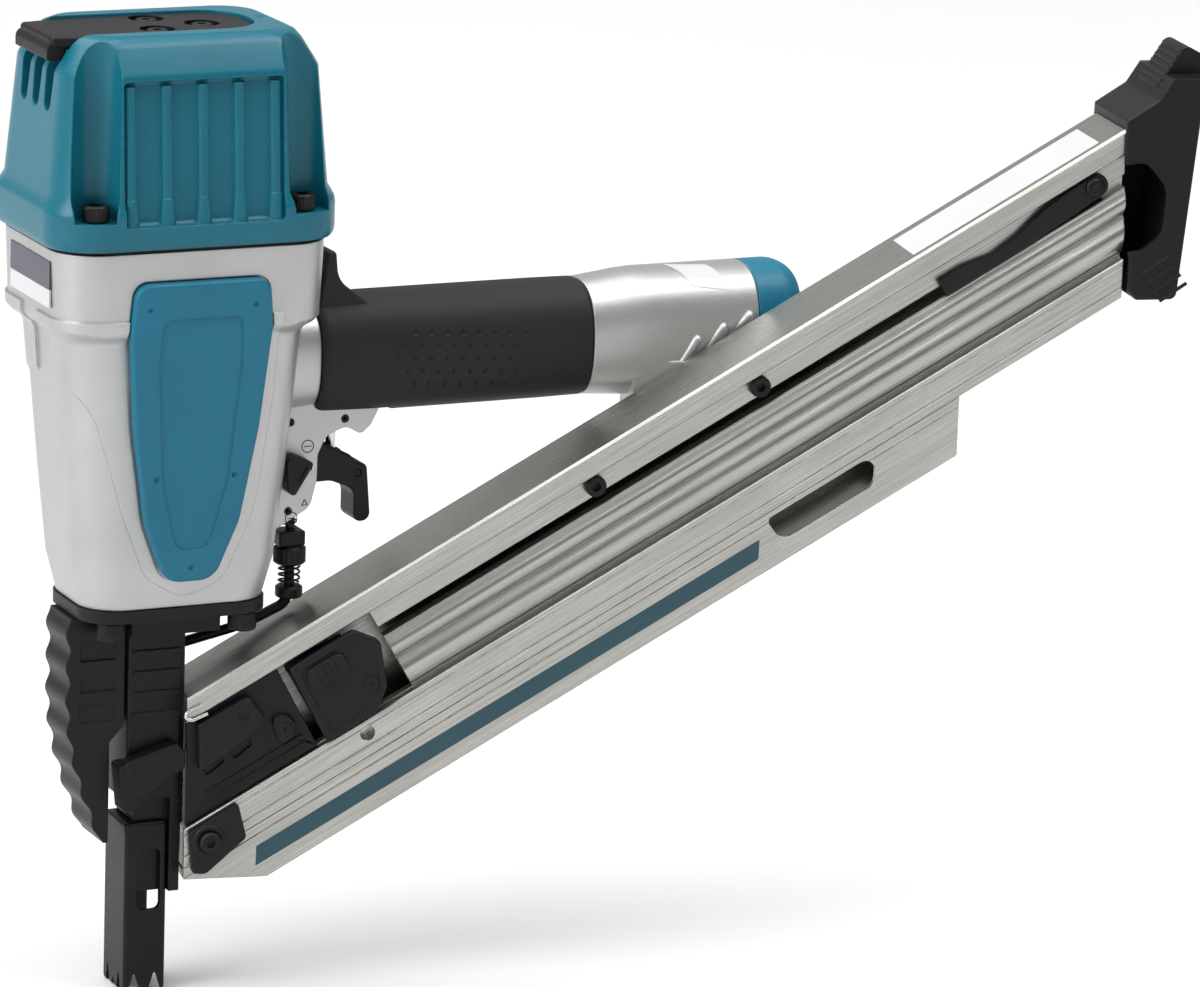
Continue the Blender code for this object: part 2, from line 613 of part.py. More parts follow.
def mode_knob(material):
    """Trigger mode selector: its shaft is the trigger's pivot."""
    outer = -BRACKET_HALF - GAP
    outline = fillet([(43.4, 50.5, 3), (47.5, 51.8, 2), (55.0, 48.4, 1.5), (46.9, 35.6, 1.5),
                      (44.4, 38.4, 2)], 3)
    knob = plate(TOOL, outline, outer - 6.5, outer, name="knob")
    join(knob, rod(TOOL, (PIVOT_X, outer - 3, PIVOT_Z), (PIVOT_X, BRACKET_HALF + 0.8, PIVOT_Z), 2.4,
                   sides=14, name="shaft"))
    make_part(knob, "mode_knob", material, (PIVOT_X, 0, PIVOT_Z))


def trigger_valve(black, steel):
    body = turned(TOOL, [(7.0, 84), (7.0, 60.8), (2.6, 60.8), (2.6, 66.5), (4.6, 66.5), (4.6, 82), (2.6, 82),
                         (2.6, 84)], (VALVE_X, 0, 0), closed=True, steps=20)
    cut(body, rod(TOOL, (ROLL_PINS[1][0], -9, 63), (ROLL_PINS[1][0], 9, 63), 1.6, sides=10))
    make_part(body, "valve_body", black)
    stem = turned(TOOL, [(0, 22.4), (4.0, 22.4), (4.0, 18.4), (1.9, 18.4), (1.9, 0.6), (1.3, 0), (0, 0)],
                  (VALVE_X, 0, 48.6), steps=14)
    slot = block(TOOL, (ROLL_PINS[1][0] - 1.9, ROLL_PINS[1][0] + 1.9), (-3, 3), (58.3, 64.9), "pin slot")
    cut(stem, slot)
    make_part(stem, "valve_stem", steel)
    spring = coil(TOOL, (VALVE_X, 0), 3.3, 0.5, 71.3, 81.7, 4, "valve spring")
    make_part(spring, "valve_spring", steel)


# ---------------------------------------------------------------- contact trip

def contact_link(steel):
    """Bent rod from the contact tip, past the driver guide, to the cup under the depth wheel."""
    route = [(-3, 13.6, -99), (-3, 14.6, -93), (-3, 16, -84), (-3, 16, -36), (-1.5, 15.5, -31.5),
             (8, 14.6, -27), (26, 7.6, -20.8), (36, 3.2, -17), (44, 1.2, -12.8), (50.5, 0, -9.5),
             (ROD_X, 0, -6.5), (ROD_X, 0, 5), (ROD_X, 0, 13.2)]
    link = wire(TOOL, route, 2.0, "link")
    join(link, rod(TOOL, (ROD_X, 0, -6.8), (ROD_X, 0, -2.3), 5.2, sides=18, name="cup"))
    make_part(link, "contact_link", steel, (ROD_X, 0, 0))
    spring = coil(TOOL, (ROD_X, 0), 3.9, 0.45, -2.0, 5.7, 3, "detent spring")
    make_part(spring, "detent_spring", steel, (ROD_X, 0, 0))


def depth_wheel(material):
    wheel = turned(TOOL, [(5.4, 13.2), (6.2, 12.4), (6.2, 6.8), (5.4, 6.0), (2.4, 6.0), (2.4, 13.2)],
                   (ROD_X, 0, 0), closed=True, steps=24)
    make_part(wheel, "depth_wheel", material)


def link_head(steel):
    head = block(TOOL, (ROD_X - 6, ROD_X + 4.5), (-4.8, 4.8), (13.6, 19.4), "head")
    join(head, rod(TOOL, (ROD_X, 0, 19), (ROD_X, 0, 42.4), 1.8, sides=14, name="rod"))
    make_part(head, "link_head", steel, (ROD_X, 0, 0))
    spring = coil(TOOL, (ROD_X, 0), 2.4, 0.35, 19.7, 33.2, 5, "contact spring")
    make_part(spring, "contact_spring", steel)


def contact_tip(steel):
    """Toothed channel that wraps the foot of the driver guide."""
    front, rear, half, top, bottom = -15.6, 1.1, 11.0, -86.5, -153.0
    wall = half - 2.2
    tip = soften(block(TOOL, (front, rear), (-half, half), (bottom, top), "tip"), 1.2)
    cut(tip, block(TOOL, (front + 3.2, rear + 5), (-wall, wall), (bottom - 5, top + 5), "inside"))
    cut(tip, block(TOOL, (-11.0, -1.5), (-half - 2, -half + 3), (-121, -97), "near window"))
    for x in (-11.2, -3.0):
        notch = fillet([(x - 3.2, bottom - 1), (x, bottom + 9), (x + 3.2, bottom - 1)])
        cut(tip, plate(TOOL, notch, -20, 20, name="notch"))
    for y in (-5.5, 5.5):
        notch = [(y - 3.0, bottom - 1), (y, bottom + 8), (y + 3.0, bottom - 1)]
        cut(tip, plate(TOOL, notch, -20, -10, plane="YZ", name="notch"))
    make_part(tip, "contact_tip", steel)


# ---------------------------------------------------------------- nose

def base_plate(material):
    base = plate(TOOL, rounded_rectangle(36.8, 25.2, 14.5), BASE_BOTTOM, BASE_TOP, plane="XY", name="base")
    cut(base, rod(TOOL, (0, 0, -8), (0, 0, 3), 9.0, name="middle hole"))
    for x, y in BASE_BOLTS:
        cut(base, rod(TOOL, (x, y, -8), (x, y, 3), 3.3, sides=12, name="bolt hole"))
    make_part(base, "base_plate", material)


def driver_guide(material):
    guide = block(TOOL, (-16.0, 5.5), (-12.0, 12.0), (-77.8, -8.0), "guide")
    join(guide, block(TOOL, (-16.5, 18.6), (-16.0, 16.0), (-13.0, BASE_BOTTOM - GAP), "flange"),
         block(TOOL, (-12.0, 5.5), (-8.4, 8.4), (-114.0, -77.0), "foot"),
         block(TOOL, (1.5, 5.5), (-12.0, 12.0), (-114.0, -77.0), "wings"))
    cut(guide, rod(TOOL, (0, 0, -120), (0, 0, 2), 4.3, name="driver bore"),
        block(TOOL, (0.0, 8.0), (-3.6, 3.6), (-112.0, -28.0), "nail way"))
    make_part(guide, "driver_guide", material)


def nose_guard(material):
    """Front shield with a scalloped edge."""
    top, bottom = BASE_BOTTOM - GAP, -93.0
    outline = [(-17.0, top), (-17.0, -48.0), (-22.6, -54.0), (-22.6, bottom)]
    teeth = 7
    for k in range(teeth * 4 + 1):
        share = k / (teeth * 4)
        z = bottom + (top - bottom) * share
        lean = -25.5 - 14.0 * math.sin(min(share * 1.6, 1.0) * math.pi / 2)
        outline.append((lean + 0.7 * math.cos(math.tau * share * teeth), z))
    guard = plate(TOOL, outline, -11.0, 11.0, name="guard")
    cut(guard, block(TOOL, (-34.0, -10.0), (-8.0, 8.0), (-47.0, -14.0), "inside"))
    make_part(guard, "nose_guard", material)


def nose_latch(material):
    outline = fillet([(-19.5, -60.5, 2), (1.8, -54.4, 2), (5.0, -58.5, 1), (4.8, -64.4, 1),
                      (-12.5, -75.5, 2)], 3)
    latch = plate(TOOL, outline, -18.5, -12.5, name="latch")
    hook = fillet([(-21.5, -61.5, 1.5), (-16.8, -61.0), (-12.0, -75.0), (-15.0, -80.0, 2),
                   (-19.5, -80.0, 2)], 3)
    join(latch, plate(TOOL, hook, -18.0, -9.0, name="hook"))
    cut(latch, block(TOOL, (-16.4, 0), (-12.3, 0), (-90, -50), "guide clearance"))
    make_part(latch, "nose_latch", material, (6.0, -15.0, -60.0))


# ---------------------------------------------------------------- magazine

def rail_profile():
    """Half section of the extrusion as (across, square), outer side from top to bottom."""
    ridge = [(14.6 + 1.9 * math.sin(math.pi * k / 6), SLOT_FLOOR - 1.0 - 8.0 * k / 6) for k in range(7)]
    belly = [(14.6 + 2.1 * math.sin(math.pi * k / 6), -67.0 - 11.0 * k / 6) for k in range(7)]
    return [(17.2, RAIL_TOP), (18.0, RAIL_TOP - 0.8), (18.0, -44.8), (13.0, -44.8), (13.0, SLOT_TOP),
            (10.8, SLOT_TOP), (10.8, SLOT_FLOOR), *ridge, *belly, (12.6, -79.0), (12.6, -80.6),
            (17.0, -80.6), (17.0, -89.6), (16.6, -90.0), (17.0, -90.4), (17.0, RAIL_BOTTOM)]


def magazine_rail(material):
    near = [(-across, square) for across, square in rail_profile()]
    far = [(across, square) for across, square in reversed(rail_profile())]
    rail = plate(RAIL, near + far, -70.0, 430.0, plane="YZ", name="rail")
    inside = block(RAIL, (-80, 440), (-CHANNEL_HALF, CHANNEL_HALF), (-91.0, -40.5), "channel")
    tips = block(RAIL, (-80, 440), (-3.5, 3.5), (-96, -88), "tip slot")
    slot = block(RAIL, (60, 382), (-14, -7), (SLOT_FLOOR, SLOT_TOP), "pusher slot")
    gate = block(RAIL, (-70, 63), (-22, -6.0), (-80.3, -45.0), "feeder gate")
    front = plate(YAWED, [(-100, 100), (-100, -200), (RAIL_FRONT, -200), (RAIL_FRONT, 100)], -30, 30)
    rear = plate(YAWED, [(RAIL_REAR, 300), (RAIL_REAR, 0), (460, 0), (460, 300)], -30, 30)
    cut(rail, inside, tips, slot, gate, front, rear)
    for s, t in MAGAZINE_BOLTS:
        cut(rail, rod(RAIL, (s, -20, t), (s, -6, t), 2.8, sides=12, name="bolt hole"))
    s, t = STOP_PIVOT
    cut(rail, rod(RAIL, (s, -20, t), (s, -6, t), 2.3, sides=12, name="stop pivot"),
        rod(RAIL, (39.5, -20, -85.5), (39.5, -12, -85.5), 2.9, sides=14, name="dowel hole"))
    make_part(rail, "magazine_rail", material)


def magazine_skid(material):
    corner = along_rail(40.0, NOSE_FLOOR)
    outline = fillet([on_upright(RAIL_FRONT, RAIL_BOTTOM - GAP), along_rail(RAIL_FRONT, NOSE_FLOOR),
                      (corner[0], SKID_BOTTOM, 2), (*on_upright(SKID_REAR, SKID_BOTTOM), 1),
                      on_upright(SKID_REAR, RAIL_BOTTOM - GAP)])
    skid = plate(RAIL, outline, -17.0, 17.0, name="skid")
    wall, floor = 14.4, 2.8
    front = along_rail(RAIL_FRONT - 6, NOSE_FLOOR + floor)
    deep = along_rail(39.3, NOSE_FLOOR + floor)
    hollow = [(front[0], -80), front, (deep[0], SKID_BOTTOM + floor), (320, SKID_BOTTOM + floor), (320, -80)]
    cut(skid, plate(RAIL, hollow, -wall, wall, name="hollow"))
    window = fillet([(210.0, -95.6, 2), (259.0, -95.6, 4), (252.6, -106.2, 5), (211.0, -106.2, 5)])
    cut(skid, plate(RAIL, window, -30, 30, name="window"))
    make_part(skid, "magazine_skid", material)


def magazine_bolts(material):
    for number, (s, t) in enumerate(MAGAZINE_BOLTS, start=1):
        cap_screw(RAIL, f"magazine_bolt_{number}", (s, -13.0 - GAP, t), (4.1, 3.6), (2.5, 4.0), 2.0,
                  material, rotation=(math.pi / 2, 0, 0))


def magazine_end_cap(material):
    """Moulded end cap with a thumb rest on top."""
    outline = fillet([(363.8, 171.0), (363.8, 175.8, 1), (376, 183.5, 3), (388.5, 203.0, 3),
                      (399, 197.5, 2.5), (399.5, 194.0, 1), (395.5, 190.5, 1), (393.5, 180, 6),
                      (387, 106.5, 3), (371, 106.5, 2), (367.5, 110, 1), (367.5, 122), (363.8, 150)])
    half = RAIL_HALF + 2.2
    cap = plate(YAWED, outline, -half, half, name="end cap")
    cut(cap, block(YAWED, (360, 410), (-30, -11), (191.5, 210), "thumb side"),
        block(YAWED, (360, 410), (11, 30), (191.5, 210), "thumb side"))
    pocket = [on_upright(RAIL_FRONT, RAIL_TOP + GAP), on_upright(386.0, RAIL_TOP + GAP),
              on_upright(383.0, RAIL_BOTTOM - 1.0), on_upright(RAIL_FRONT, RAIL_BOTTOM - 1.0)]
    cut(cap, plate(RAIL, pocket, -RAIL_HALF - GAP, RAIL_HALF + GAP, name="pocket"))
    window = fillet([(360, 158.5), (372, 160, 6), (381, 150, 9), (380, 132, 9), (372, 126, 6), (360, 124)])
    cut(cap, plate(YAWED, window, -half - 2, -half + 4, name="side window"))
    make_part(cap, "magazine_end_cap", material)


def pusher(material, steel):
    outline = fillet([(26, -46.5, 2), (54, -46.3, 3), (61, -55.5, 4), (54.5, -72.5, 4), (46, -79.2, 3),
                      (24.5, -79.2, 2)])
    follower = block(RAIL, (26, 36), (-7.6, 7.6), (-88.5, -42.0), "follower")
    outer = soften(plate(RAIL, outline, -21.0, -17.5, name="pusher"), 0.8)
    join(outer, block(RAIL, (30, 50), (-18.5, -6.0), (-56.2, -53.8), "neck"), follower,
         block(RAIL, (35, 50), (-7.6, -5.0), (-66.0, -50.0), "spring bracket"),
         block(RAIL, (30, 46), (-22.4, -20.5), (-59.0, -50.0), "raised grip"))
    make_part(outer, "pusher", material, (26, -12, -60))
    drum = rod(RAIL, (44, -4.6, -58), (44, 5.5, -58), 6.0, sides=20)
    make_part(drum, "pusher_spring", steel, (44, 0, -58))


def feeder(material):
    """Fixed front plate of the magazine with its raised guide block."""
    back = plate(RAIL, [on_upright(RAIL_FRONT + 0.5, -45.4), (22.5, -45.4), (21.0, -79.9),
                        on_upright(RAIL_FRONT + 0.5, -79.9)], -15.5, -9.2, name="feeder plate")
    join(back, plate(RAIL, fillet([(11, -59.5, 3), (19, -63, 5), (17, -71, 5), (9, -72, 2)]), -18.0, -15.0))
    make_part(back, "feeder_plate", material)
    outline = fillet([(*on_upright(12.2, -47.0), 1), (8.5, -47.5, 3), (9.5, -59.5, 2), (-3.0, -61.8, 1),
                      (*on_upright(13.0, -63.5), 1)])
    raised = soften(plate(RAIL, outline, -20.3, -15.8, name="feeder block"), 0.7)
    make_part(raised, "feeder_block", material)


def front_bracket(material, steel):
    outline = fillet([(-37.0, -81.3, 1.5), (-15.5, -81.3, 1.5), (-19.5, -95.0, 2), (-39.5, -99.0, 4),
                      (-44.0, -96.0, 2)])
    bracket = soften(plate(RAIL, outline, -20.4, -17.3, name="front bracket"), 0.6)
    s, t = FRONT_BOLT
    cut(bracket, rod(RAIL, (s, -30, t), (s, -10, t), 2.3, sides=12, name="bolt hole"))
    make_part(bracket, "front_bracket", material)
    cap_screw(RAIL, "front_bracket_bolt", (s, -20.4 - GAP, t), (4.2, 2.6), (2.0, 3.0), 1.9,
              steel, rotation=(math.pi / 2, 0, 0))


def nail_stop(material, steel):
    s, t = STOP_PIVOT
    outline = fillet([(372, -45.9, 2), (386, -45.9, 4), (386, -54.2, 4), (368, -55.5, 4), (346, -56.4, 4),
                      (311, -56.6, 1), (311, -50.2, 1), (322, -50.2), (334, -52.5, 4), (346, -51.0, 4),
                      (360, -47.2, 4)])
    lever = plate(RAIL, outline, -16.8, -13.4, name="nail stop")
    cut(lever, rod(RAIL, (s, -20, t), (s, -6, t), 2.3, sides=12, name="pivot hole"))
    make_part(lever, "nail_stop_lever", material, (s, -15, t))
    cap_screw(RAIL, "nail_stop_screw", (s, -16.8 - GAP, t), (3.6, 1.0), (2.0, 7.2), 1.4,
              steel, rotation=(math.pi / 2, 0, 0))


# ---------------------------------------------------------------- assembly

clear_scene()
PARTS = new_collection("pneumatic_nailer")
CUTTERS = new_collection("cutters")
TOOL = new_frame("tool_frame", location=(-GRIP_X, 0, -GRIP_Z))
YAWED = new_frame("yaw_frame", TOOL, rotation=(0, 0, -YAW))
RAIL = new_frame("rail_frame", YAWED, rotation=(0, -SLOPE, 0))
PAD_FRAMES = [(new_frame(f"pad_frame_{name}", TOOL, (0, side * (26.4 + GAP), 0),
                         (-side * PAD_TILT, 0, 0)), side)
              for name, side in (("left", -1), ("right", 1))]

SILVER = new_material("cast_aluminium", (0.62, 0.63, 0.63), 0.38, 0.7)
RAIL_SILVER = new_material("brushed_aluminium", (0.66, 0.66, 0.64), 0.3, 0.9)
TEAL_PAINT = new_material("teal_painted_aluminium", (0.02, 0.28, 0.36), 0.3, 0.3)
TEAL = new_material("teal_moulding", (0.02, 0.26, 0.36), 0.45, 0.0)
RUBBER = new_material("black_rubber", (0.03, 0.03, 0.035), 0.75, 0.0)
BLACK = new_material("black_plastic", (0.035, 0.033, 0.038), 0.5, 0.0)
STEEL = new_material("blackened_steel", (0.05, 0.045, 0.045), 0.35, 0.8)
BRIGHT = new_material("bright_steel", (0.6, 0.6, 0.6), 0.25, 1.0)

main_housing(SILVER)
roll_pins(STEEL)
side_pads(TEAL)
top_cap(TEAL_PAINT)
exhaust_deflector(BLACK)
cap_gasket(RUBBER)
for index, (bolt_x, bolt_y) in enumerate(deflector_screw_places(), start=1):
    cap_screw(TOOL, f"deflector_screw_{index}", (bolt_x, bolt_y, 211.2 + GAP), (4.1, 1.9), (1.9, 8.5), 1.9,
              STEEL)
for index, (bolt_x, bolt_y) in enumerate(CAP_BOLTS, start=1):
    cap_screw(TOOL, f"cap_bolt_{index}", (bolt_x, bolt_y, CAP_BOLT_SEAT + GAP), (5.0, 6.0), (3.0, 29.0), 2.9,
              STEEL)
for index, (bolt_x, bolt_y) in enumerate(BASE_BOLTS, start=1):
    cap_screw(TOOL, f"base_bolt_{index}", (bolt_x, bolt_y, BASE_BOTTOM - GAP), (5.4, 6.8), (3.0, 12.5), 2.9,
              STEEL, rotation=(math.pi, 0, 0))
handle_grip(RUBBER)
handle_end_cap(TEAL)
air_plug(BRIGHT)
drive_parts(STEEL, RUBBER, BRIGHT)
head_valve_parts(BRIGHT, STEEL)
trigger(BLACK)
trigger_lever(BRIGHT)
mode_knob(BLACK)
trigger_valve(BLACK, BRIGHT)
contact_link(STEEL)
depth_wheel(BLACK)
link_head(STEEL)
contact_tip(STEEL)
base_plate(BLACK)
driver_guide(STEEL)
nose_guard(BLACK)
nose_latch(STEEL)
magazine_rail(RAIL_SILVER)
magazine_skid(RAIL_SILVER)
magazine_bolts(STEEL)
magazine_end_cap(BLACK)
pusher(BLACK, BRIGHT)
feeder(BLACK)
front_bracket(BLACK, STEEL)
nail_stop(BLACK, STEEL)
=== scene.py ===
"""Looks of the pneumatic framing nailer: studio, camera, surfaces and the finer pieces.

Shapes are written in millimetres in the tool's own frame, where X runs from the nose to the
hose end and Z = 0 is the underside of the cylinder housing.
"""
import json
import math

import bmesh
import bpy
from mathutils import Matrix, Vector

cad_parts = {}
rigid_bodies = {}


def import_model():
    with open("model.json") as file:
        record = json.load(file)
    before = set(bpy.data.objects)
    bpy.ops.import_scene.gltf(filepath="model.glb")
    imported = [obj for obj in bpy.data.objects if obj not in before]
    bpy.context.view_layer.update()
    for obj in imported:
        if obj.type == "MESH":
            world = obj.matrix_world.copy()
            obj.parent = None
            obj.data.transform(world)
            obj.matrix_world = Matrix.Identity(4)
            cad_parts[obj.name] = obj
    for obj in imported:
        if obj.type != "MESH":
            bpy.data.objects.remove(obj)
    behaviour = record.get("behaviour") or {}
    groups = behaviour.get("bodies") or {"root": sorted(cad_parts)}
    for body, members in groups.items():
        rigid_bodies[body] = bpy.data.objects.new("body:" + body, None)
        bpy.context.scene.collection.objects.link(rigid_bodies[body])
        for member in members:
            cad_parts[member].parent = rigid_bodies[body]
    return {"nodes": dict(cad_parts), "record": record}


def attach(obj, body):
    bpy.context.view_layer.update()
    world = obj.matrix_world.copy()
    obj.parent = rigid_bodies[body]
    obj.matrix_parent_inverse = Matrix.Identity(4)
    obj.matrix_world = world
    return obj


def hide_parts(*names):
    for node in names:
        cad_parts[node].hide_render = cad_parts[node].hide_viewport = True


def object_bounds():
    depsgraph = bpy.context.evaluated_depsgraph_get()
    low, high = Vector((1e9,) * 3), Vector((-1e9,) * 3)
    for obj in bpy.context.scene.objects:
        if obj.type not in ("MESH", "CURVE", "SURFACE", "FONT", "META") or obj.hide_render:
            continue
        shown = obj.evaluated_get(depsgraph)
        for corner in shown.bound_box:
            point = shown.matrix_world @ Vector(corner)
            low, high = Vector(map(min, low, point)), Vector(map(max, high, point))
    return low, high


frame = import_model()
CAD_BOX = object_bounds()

MM = 0.001
BODY_OF = {node: body for body, nodes in frame["record"]["behaviour"]["bodies"].items() for node in nodes}
SLOPE, YAW = math.radians(30.5), math.radians(10.7)
PAD_TILT = math.atan(7.6 / 94.0)

TOOL = Matrix.Translation((-0.12, 0, -0.0865))
YAWED = TOOL @ Matrix.Rotation(-YAW, 4, "Z")
RAIL = YAWED @ Matrix.Rotation(-SLOPE, 4, "Y")
TO_NEAR_SIDE = Matrix.Rotation(math.pi / 2, 4, "X")
PADS = [(TOOL @ Matrix.Translation((0, side * 0.0267, 0)) @ Matrix.Rotation(-side * PAD_TILT, 4, "X"), side)
        for side in (-1, 1)]

# Cylinder housing and cap as stacked rounded rectangles: (z, half length, half width, radius)
HOUSING_RINGS = ((0.0, 36.0, 24.5, 14.5), (15.0, 39.5, 27.0, 15.0), (50.0, 42.5, 30.0, 15.5),
                 (101.5, 46.4, 33.3, 16.0), (104.0, 47.6, 34.4, 16.3), (106.0, 50.4, 36.6, 16.8),
                 (108.0, 52.0, 37.8, 17.0), (136.9, 53.0, 38.5, 17.0))
CAVITY_RINGS = ((10.0, 34.0, 23.3, 12.0), (50.0, 38.0, 25.5, 12.0), (104.0, 42.0, 29.0, 13.0),
                (112.0, 44.0, 30.5, 14.0), (138.0, 44.0, 30.5, 14.0))
CAP_RINGS = ((138.5, 55.2, 40.6, 18.0), (140.0, 56.1, 41.3, 18.4), (142.0, 56.3, 41.5, 18.5),
             (151.0, 56.3, 41.5, 18.5), (153.0, 55.9, 41.1, 18.4), (157.0, 53.8, 39.3, 18.0),
             (200.5, 50.0, 36.5, 17.0), (202.0, 49.4, 35.9, 16.8), (210.6, 44.6, 31.2, 15.0),
             (213.0, 42.6, 29.2, 14.4), (214.5, 39.5, 26.2, 13.4))
CAP_CAVITY_RINGS = ((137.0, 42.0, 29.0, 14.0), (172.0, 40.0, 27.5, 14.0), (196.0, 30.0, 20.0, 10.0))
CAP_BOLTS = [(sx * 40.0, sy * 33.8) for sx in (-1, 1) for sy in (-1, 1)]
BASE_BOLTS = [(sx * 26.0, sy * 19.0) for sx in (-1, 1) for sy in (-1, 1)]
DEFLECTOR_SCREWS = [(12.4 * math.cos(math.radians(a)), 12.4 * math.sin(math.radians(a)))
                    for a in (-10, 110, 230)]
HANDLE_Z = 86.5
HANDLE_END = 236.0
HANDLE_MID = HANDLE_Z + 0.5
PIVOT = (46.5, 43.0)
LEVER_PIN = (76.8, 40.8)
ROLL_PINS = ((47.5, 63.0), (69.5, 63.0), (47.3, 29.0))
VALVE_X, ROD_X = 68.0, 52.5
RAIL_FRONT, RAIL_REAR = 8.3, 366.0
RAIL_TOP, RAIL_BOTTOM, SKID_BOTTOM = -36.5, -93.5, -113.4
MAGAZINE_BOLTS = ((160.0, -49.3), (232.5, -49.3))
STOP_PIVOT = (380.5, -50.0)
FRONT_BOLT = (-32.0, -88.5)
STRIPE = ((-18.0, -101.0), (204.0, -101.0), (200.0, -107.5), (-22.0, -107.5))

# The view the photograph was taken from: place in metres, then angles in degrees
CAMERA_PLACE = (-0.9795, -2.1780, 0.5422)
CAMERA_AZIMUTH, CAMERA_ELEVATION, CAMERA_ROLL = -25.528, 14.082, 1.992
LENS_MM, SENSOR_MM = 195.0, 36.0
# Area lights: (name, place, what it points at, size, power in watts)
SOFT_BOXES = (("key", (-2.7, -0.55, 1.25), (0.0, 0.0, 0.0), (1.5, 1.9), 60.0),
              ("high_front", (1.05, -0.80, 2.1), (0.0, 0.0, 0.0), (1.5, 1.2), 34.0),
              ("front_strip", (-0.5, -2.9, 1.9), (0.05, 0.0, 0.0), (1.6, 0.5), 9.0))


# ---------------------------------------------------------------- shapes

WORKSHOP = bpy.data.collections.new("workshop")
bpy.context.scene.collection.children.link(WORKSHOP)


def face_outward(bm):
    bmesh.ops.recalc_face_normals(bm, faces=bm.faces)
    if bm.calc_volume(signed=True) < 0.0:
        bmesh.ops.reverse_faces(bm, faces=bm.faces)


def solid(bm, place):
    """A working solid: the bmesh is in millimetres in the frame given by place."""
    bm.transform(Matrix.Scale(MM, 4))
    face_outward(bm)
    mesh = bpy.data.meshes.new("solid")
    bm.to_mesh(mesh)
    bm.free()
    obj = bpy.data.objects.new("solid", mesh)
    obj.matrix_world = place
    WORKSHOP.objects.link(obj)
    return obj


def boolean(obj, operation, others):
    for other in others:
        step = obj.modifiers.new(operation.lower(), "BOOLEAN")
        step.operation = operation
        step.object = other
        step.solver = "EXACT"
    return obj


def cut(obj, *others):
    return boolean(obj, "DIFFERENCE", others)


def join(obj, *others):
    return boolean(obj, "UNION", others)


def soften(obj, width, segments=2, angle=38):
    step = obj.modifiers.new("rounded", "BEVEL")
    step.width = width * MM
    step.segments = segments
    step.limit_method = "ANGLE"
    step.angle_limit = math.radians(angle)
    return obj


def block(place, x, y, z):
    bm = bmesh.new()
    bmesh.ops.create_cube(bm, size=1.0)
    size = Matrix.Diagonal((x[1] - x[0], y[1] - y[0], z[1] - z[0], 1.0))
    bm.transform(Matrix.Translation(Vector((sum(x), sum(y), sum(z))) / 2) @ size)
    return solid(bm, place)


def rod(place, start, end, radius, sides=40, end_radius=None):
    start, end = Vector(start), Vector(end)
    axis = end - start
    bm = bmesh.new()
    bmesh.ops.create_cone(bm, cap_ends=True, segments=sides, radius1=radius,
                          radius2=radius if end_radius is None else end_radius, depth=axis.length)
    bm.transform(Matrix.Translation((start + end) / 2) @ axis.to_track_quat("Z", "Y").to_matrix().to_4x4())
    return solid(bm, place)


def balls(place, spots):
    """Several separate balls (centre, radius) as one working solid."""
    bm = bmesh.new()
    for centre, radius in spots:
        bmesh.ops.create_icosphere(bm, subdivisions=2, radius=radius, matrix=Matrix.Translation(centre))
    return solid(bm, place)


def fillet(corners, steps=7):
    """Points (x, y) or (x, y, radius) as an outline with its corners rounded."""
    outline = []
    for i, corner in enumerate(corners):
        here = Vector(corner[:2])
        radius = corner[2] if len(corner) > 2 else 0.0
        if radius == 0.0:
            outline.append(here)
            continue
        before = (Vector(corners[i - 1][:2]) - here).normalized()
        after = (Vector(corners[(i + 1) % len(corners)][:2]) - here).normalized()
        half = before.angle(after) / 2
        centre = here + (before + after).normalized() * (radius / math.sin(half))
        reach = radius / math.tan(half)
        first = here + before * reach - centre
        sweep = first.angle_signed(here + after * reach - centre)
        outline += [centre + Matrix.Rotation(-sweep * k / steps, 2) @ first for k in range(steps + 1)]
    return outline


def plate(place, outline, low, high, plane="XZ"):
    """A flat outline given thickness from low to high, square to its plane."""
    lay = {"XY": lambda p, h: (p[0], p[1], h), "XZ": lambda p, h: (p[0], h, p[1]),
           "YZ": lambda p, h: (h, p[0], p[1])}[plane]
    bm = bmesh.new()
    under = [bm.verts.new(lay(p, low)) for p in outline]
    over = [bm.verts.new(lay(p, high)) for p in outline]
    for i in range(len(outline)):
        j = (i + 1) % len(outline)
        bm.faces.new((under[i], under[j], over[j], over[i]))
    bm.faces.new(under)
    bm.faces.new(over)
    return solid(bm, place)


def wire(place, points, radius, sides=5):
    """A round bar along the points."""
    curve = bpy.data.curves.new("guide", "CURVE")
    curve.dimensions = "3D"
    curve.bevel_depth = radius
    curve.bevel_resolution = sides
    curve.use_fill_caps = True
    spline = curve.splines.new("POLY")
    spline.points.add(len(points) - 1)
    for point, spot in zip(spline.points, points):
        point.co = (*spot, 1.0)
    guide = bpy.data.objects.new("guide", curve)
    WORKSHOP.objects.link(guide)
    bpy.context.view_layer.update()
    mesh = bpy.data.meshes.new_from_object(guide.evaluated_get(bpy.context.evaluated_depsgraph_get()))
    bpy.data.objects.remove(guide)
    bm = bmesh.new()
    bm.from_mesh(mesh)
    bmesh.ops.remove_doubles(bm, verts=bm.verts, dist=1e-3)
    return solid(bm, place)


def rounded_route(corners, steps=6):
    """Corners (x, y, z, radius) joined by straight runs and smooth bends."""
    route = [Vector(corners[0][:3])]
    for before, here, after in zip(corners, corners[1:], corners[2:]):
        spot, radius = Vector(here[:3]), here[3] if len(here) > 3 else 4.0
        back = Vector(before[:3]) - spot
        on = Vector(after[:3]) - spot
        reach = min(radius, back.length * 0.45, on.length * 0.45)
        first, last = spot + back.normalized() * reach, spot + on.normalized() * reach
        for k in range(steps + 1):
            u = k / steps
            route.append(first * (1 - u) ** 2 + spot * 2 * u * (1 - u) + last * u * u)
    route.append(Vector(corners[-1][:3]))
    return route


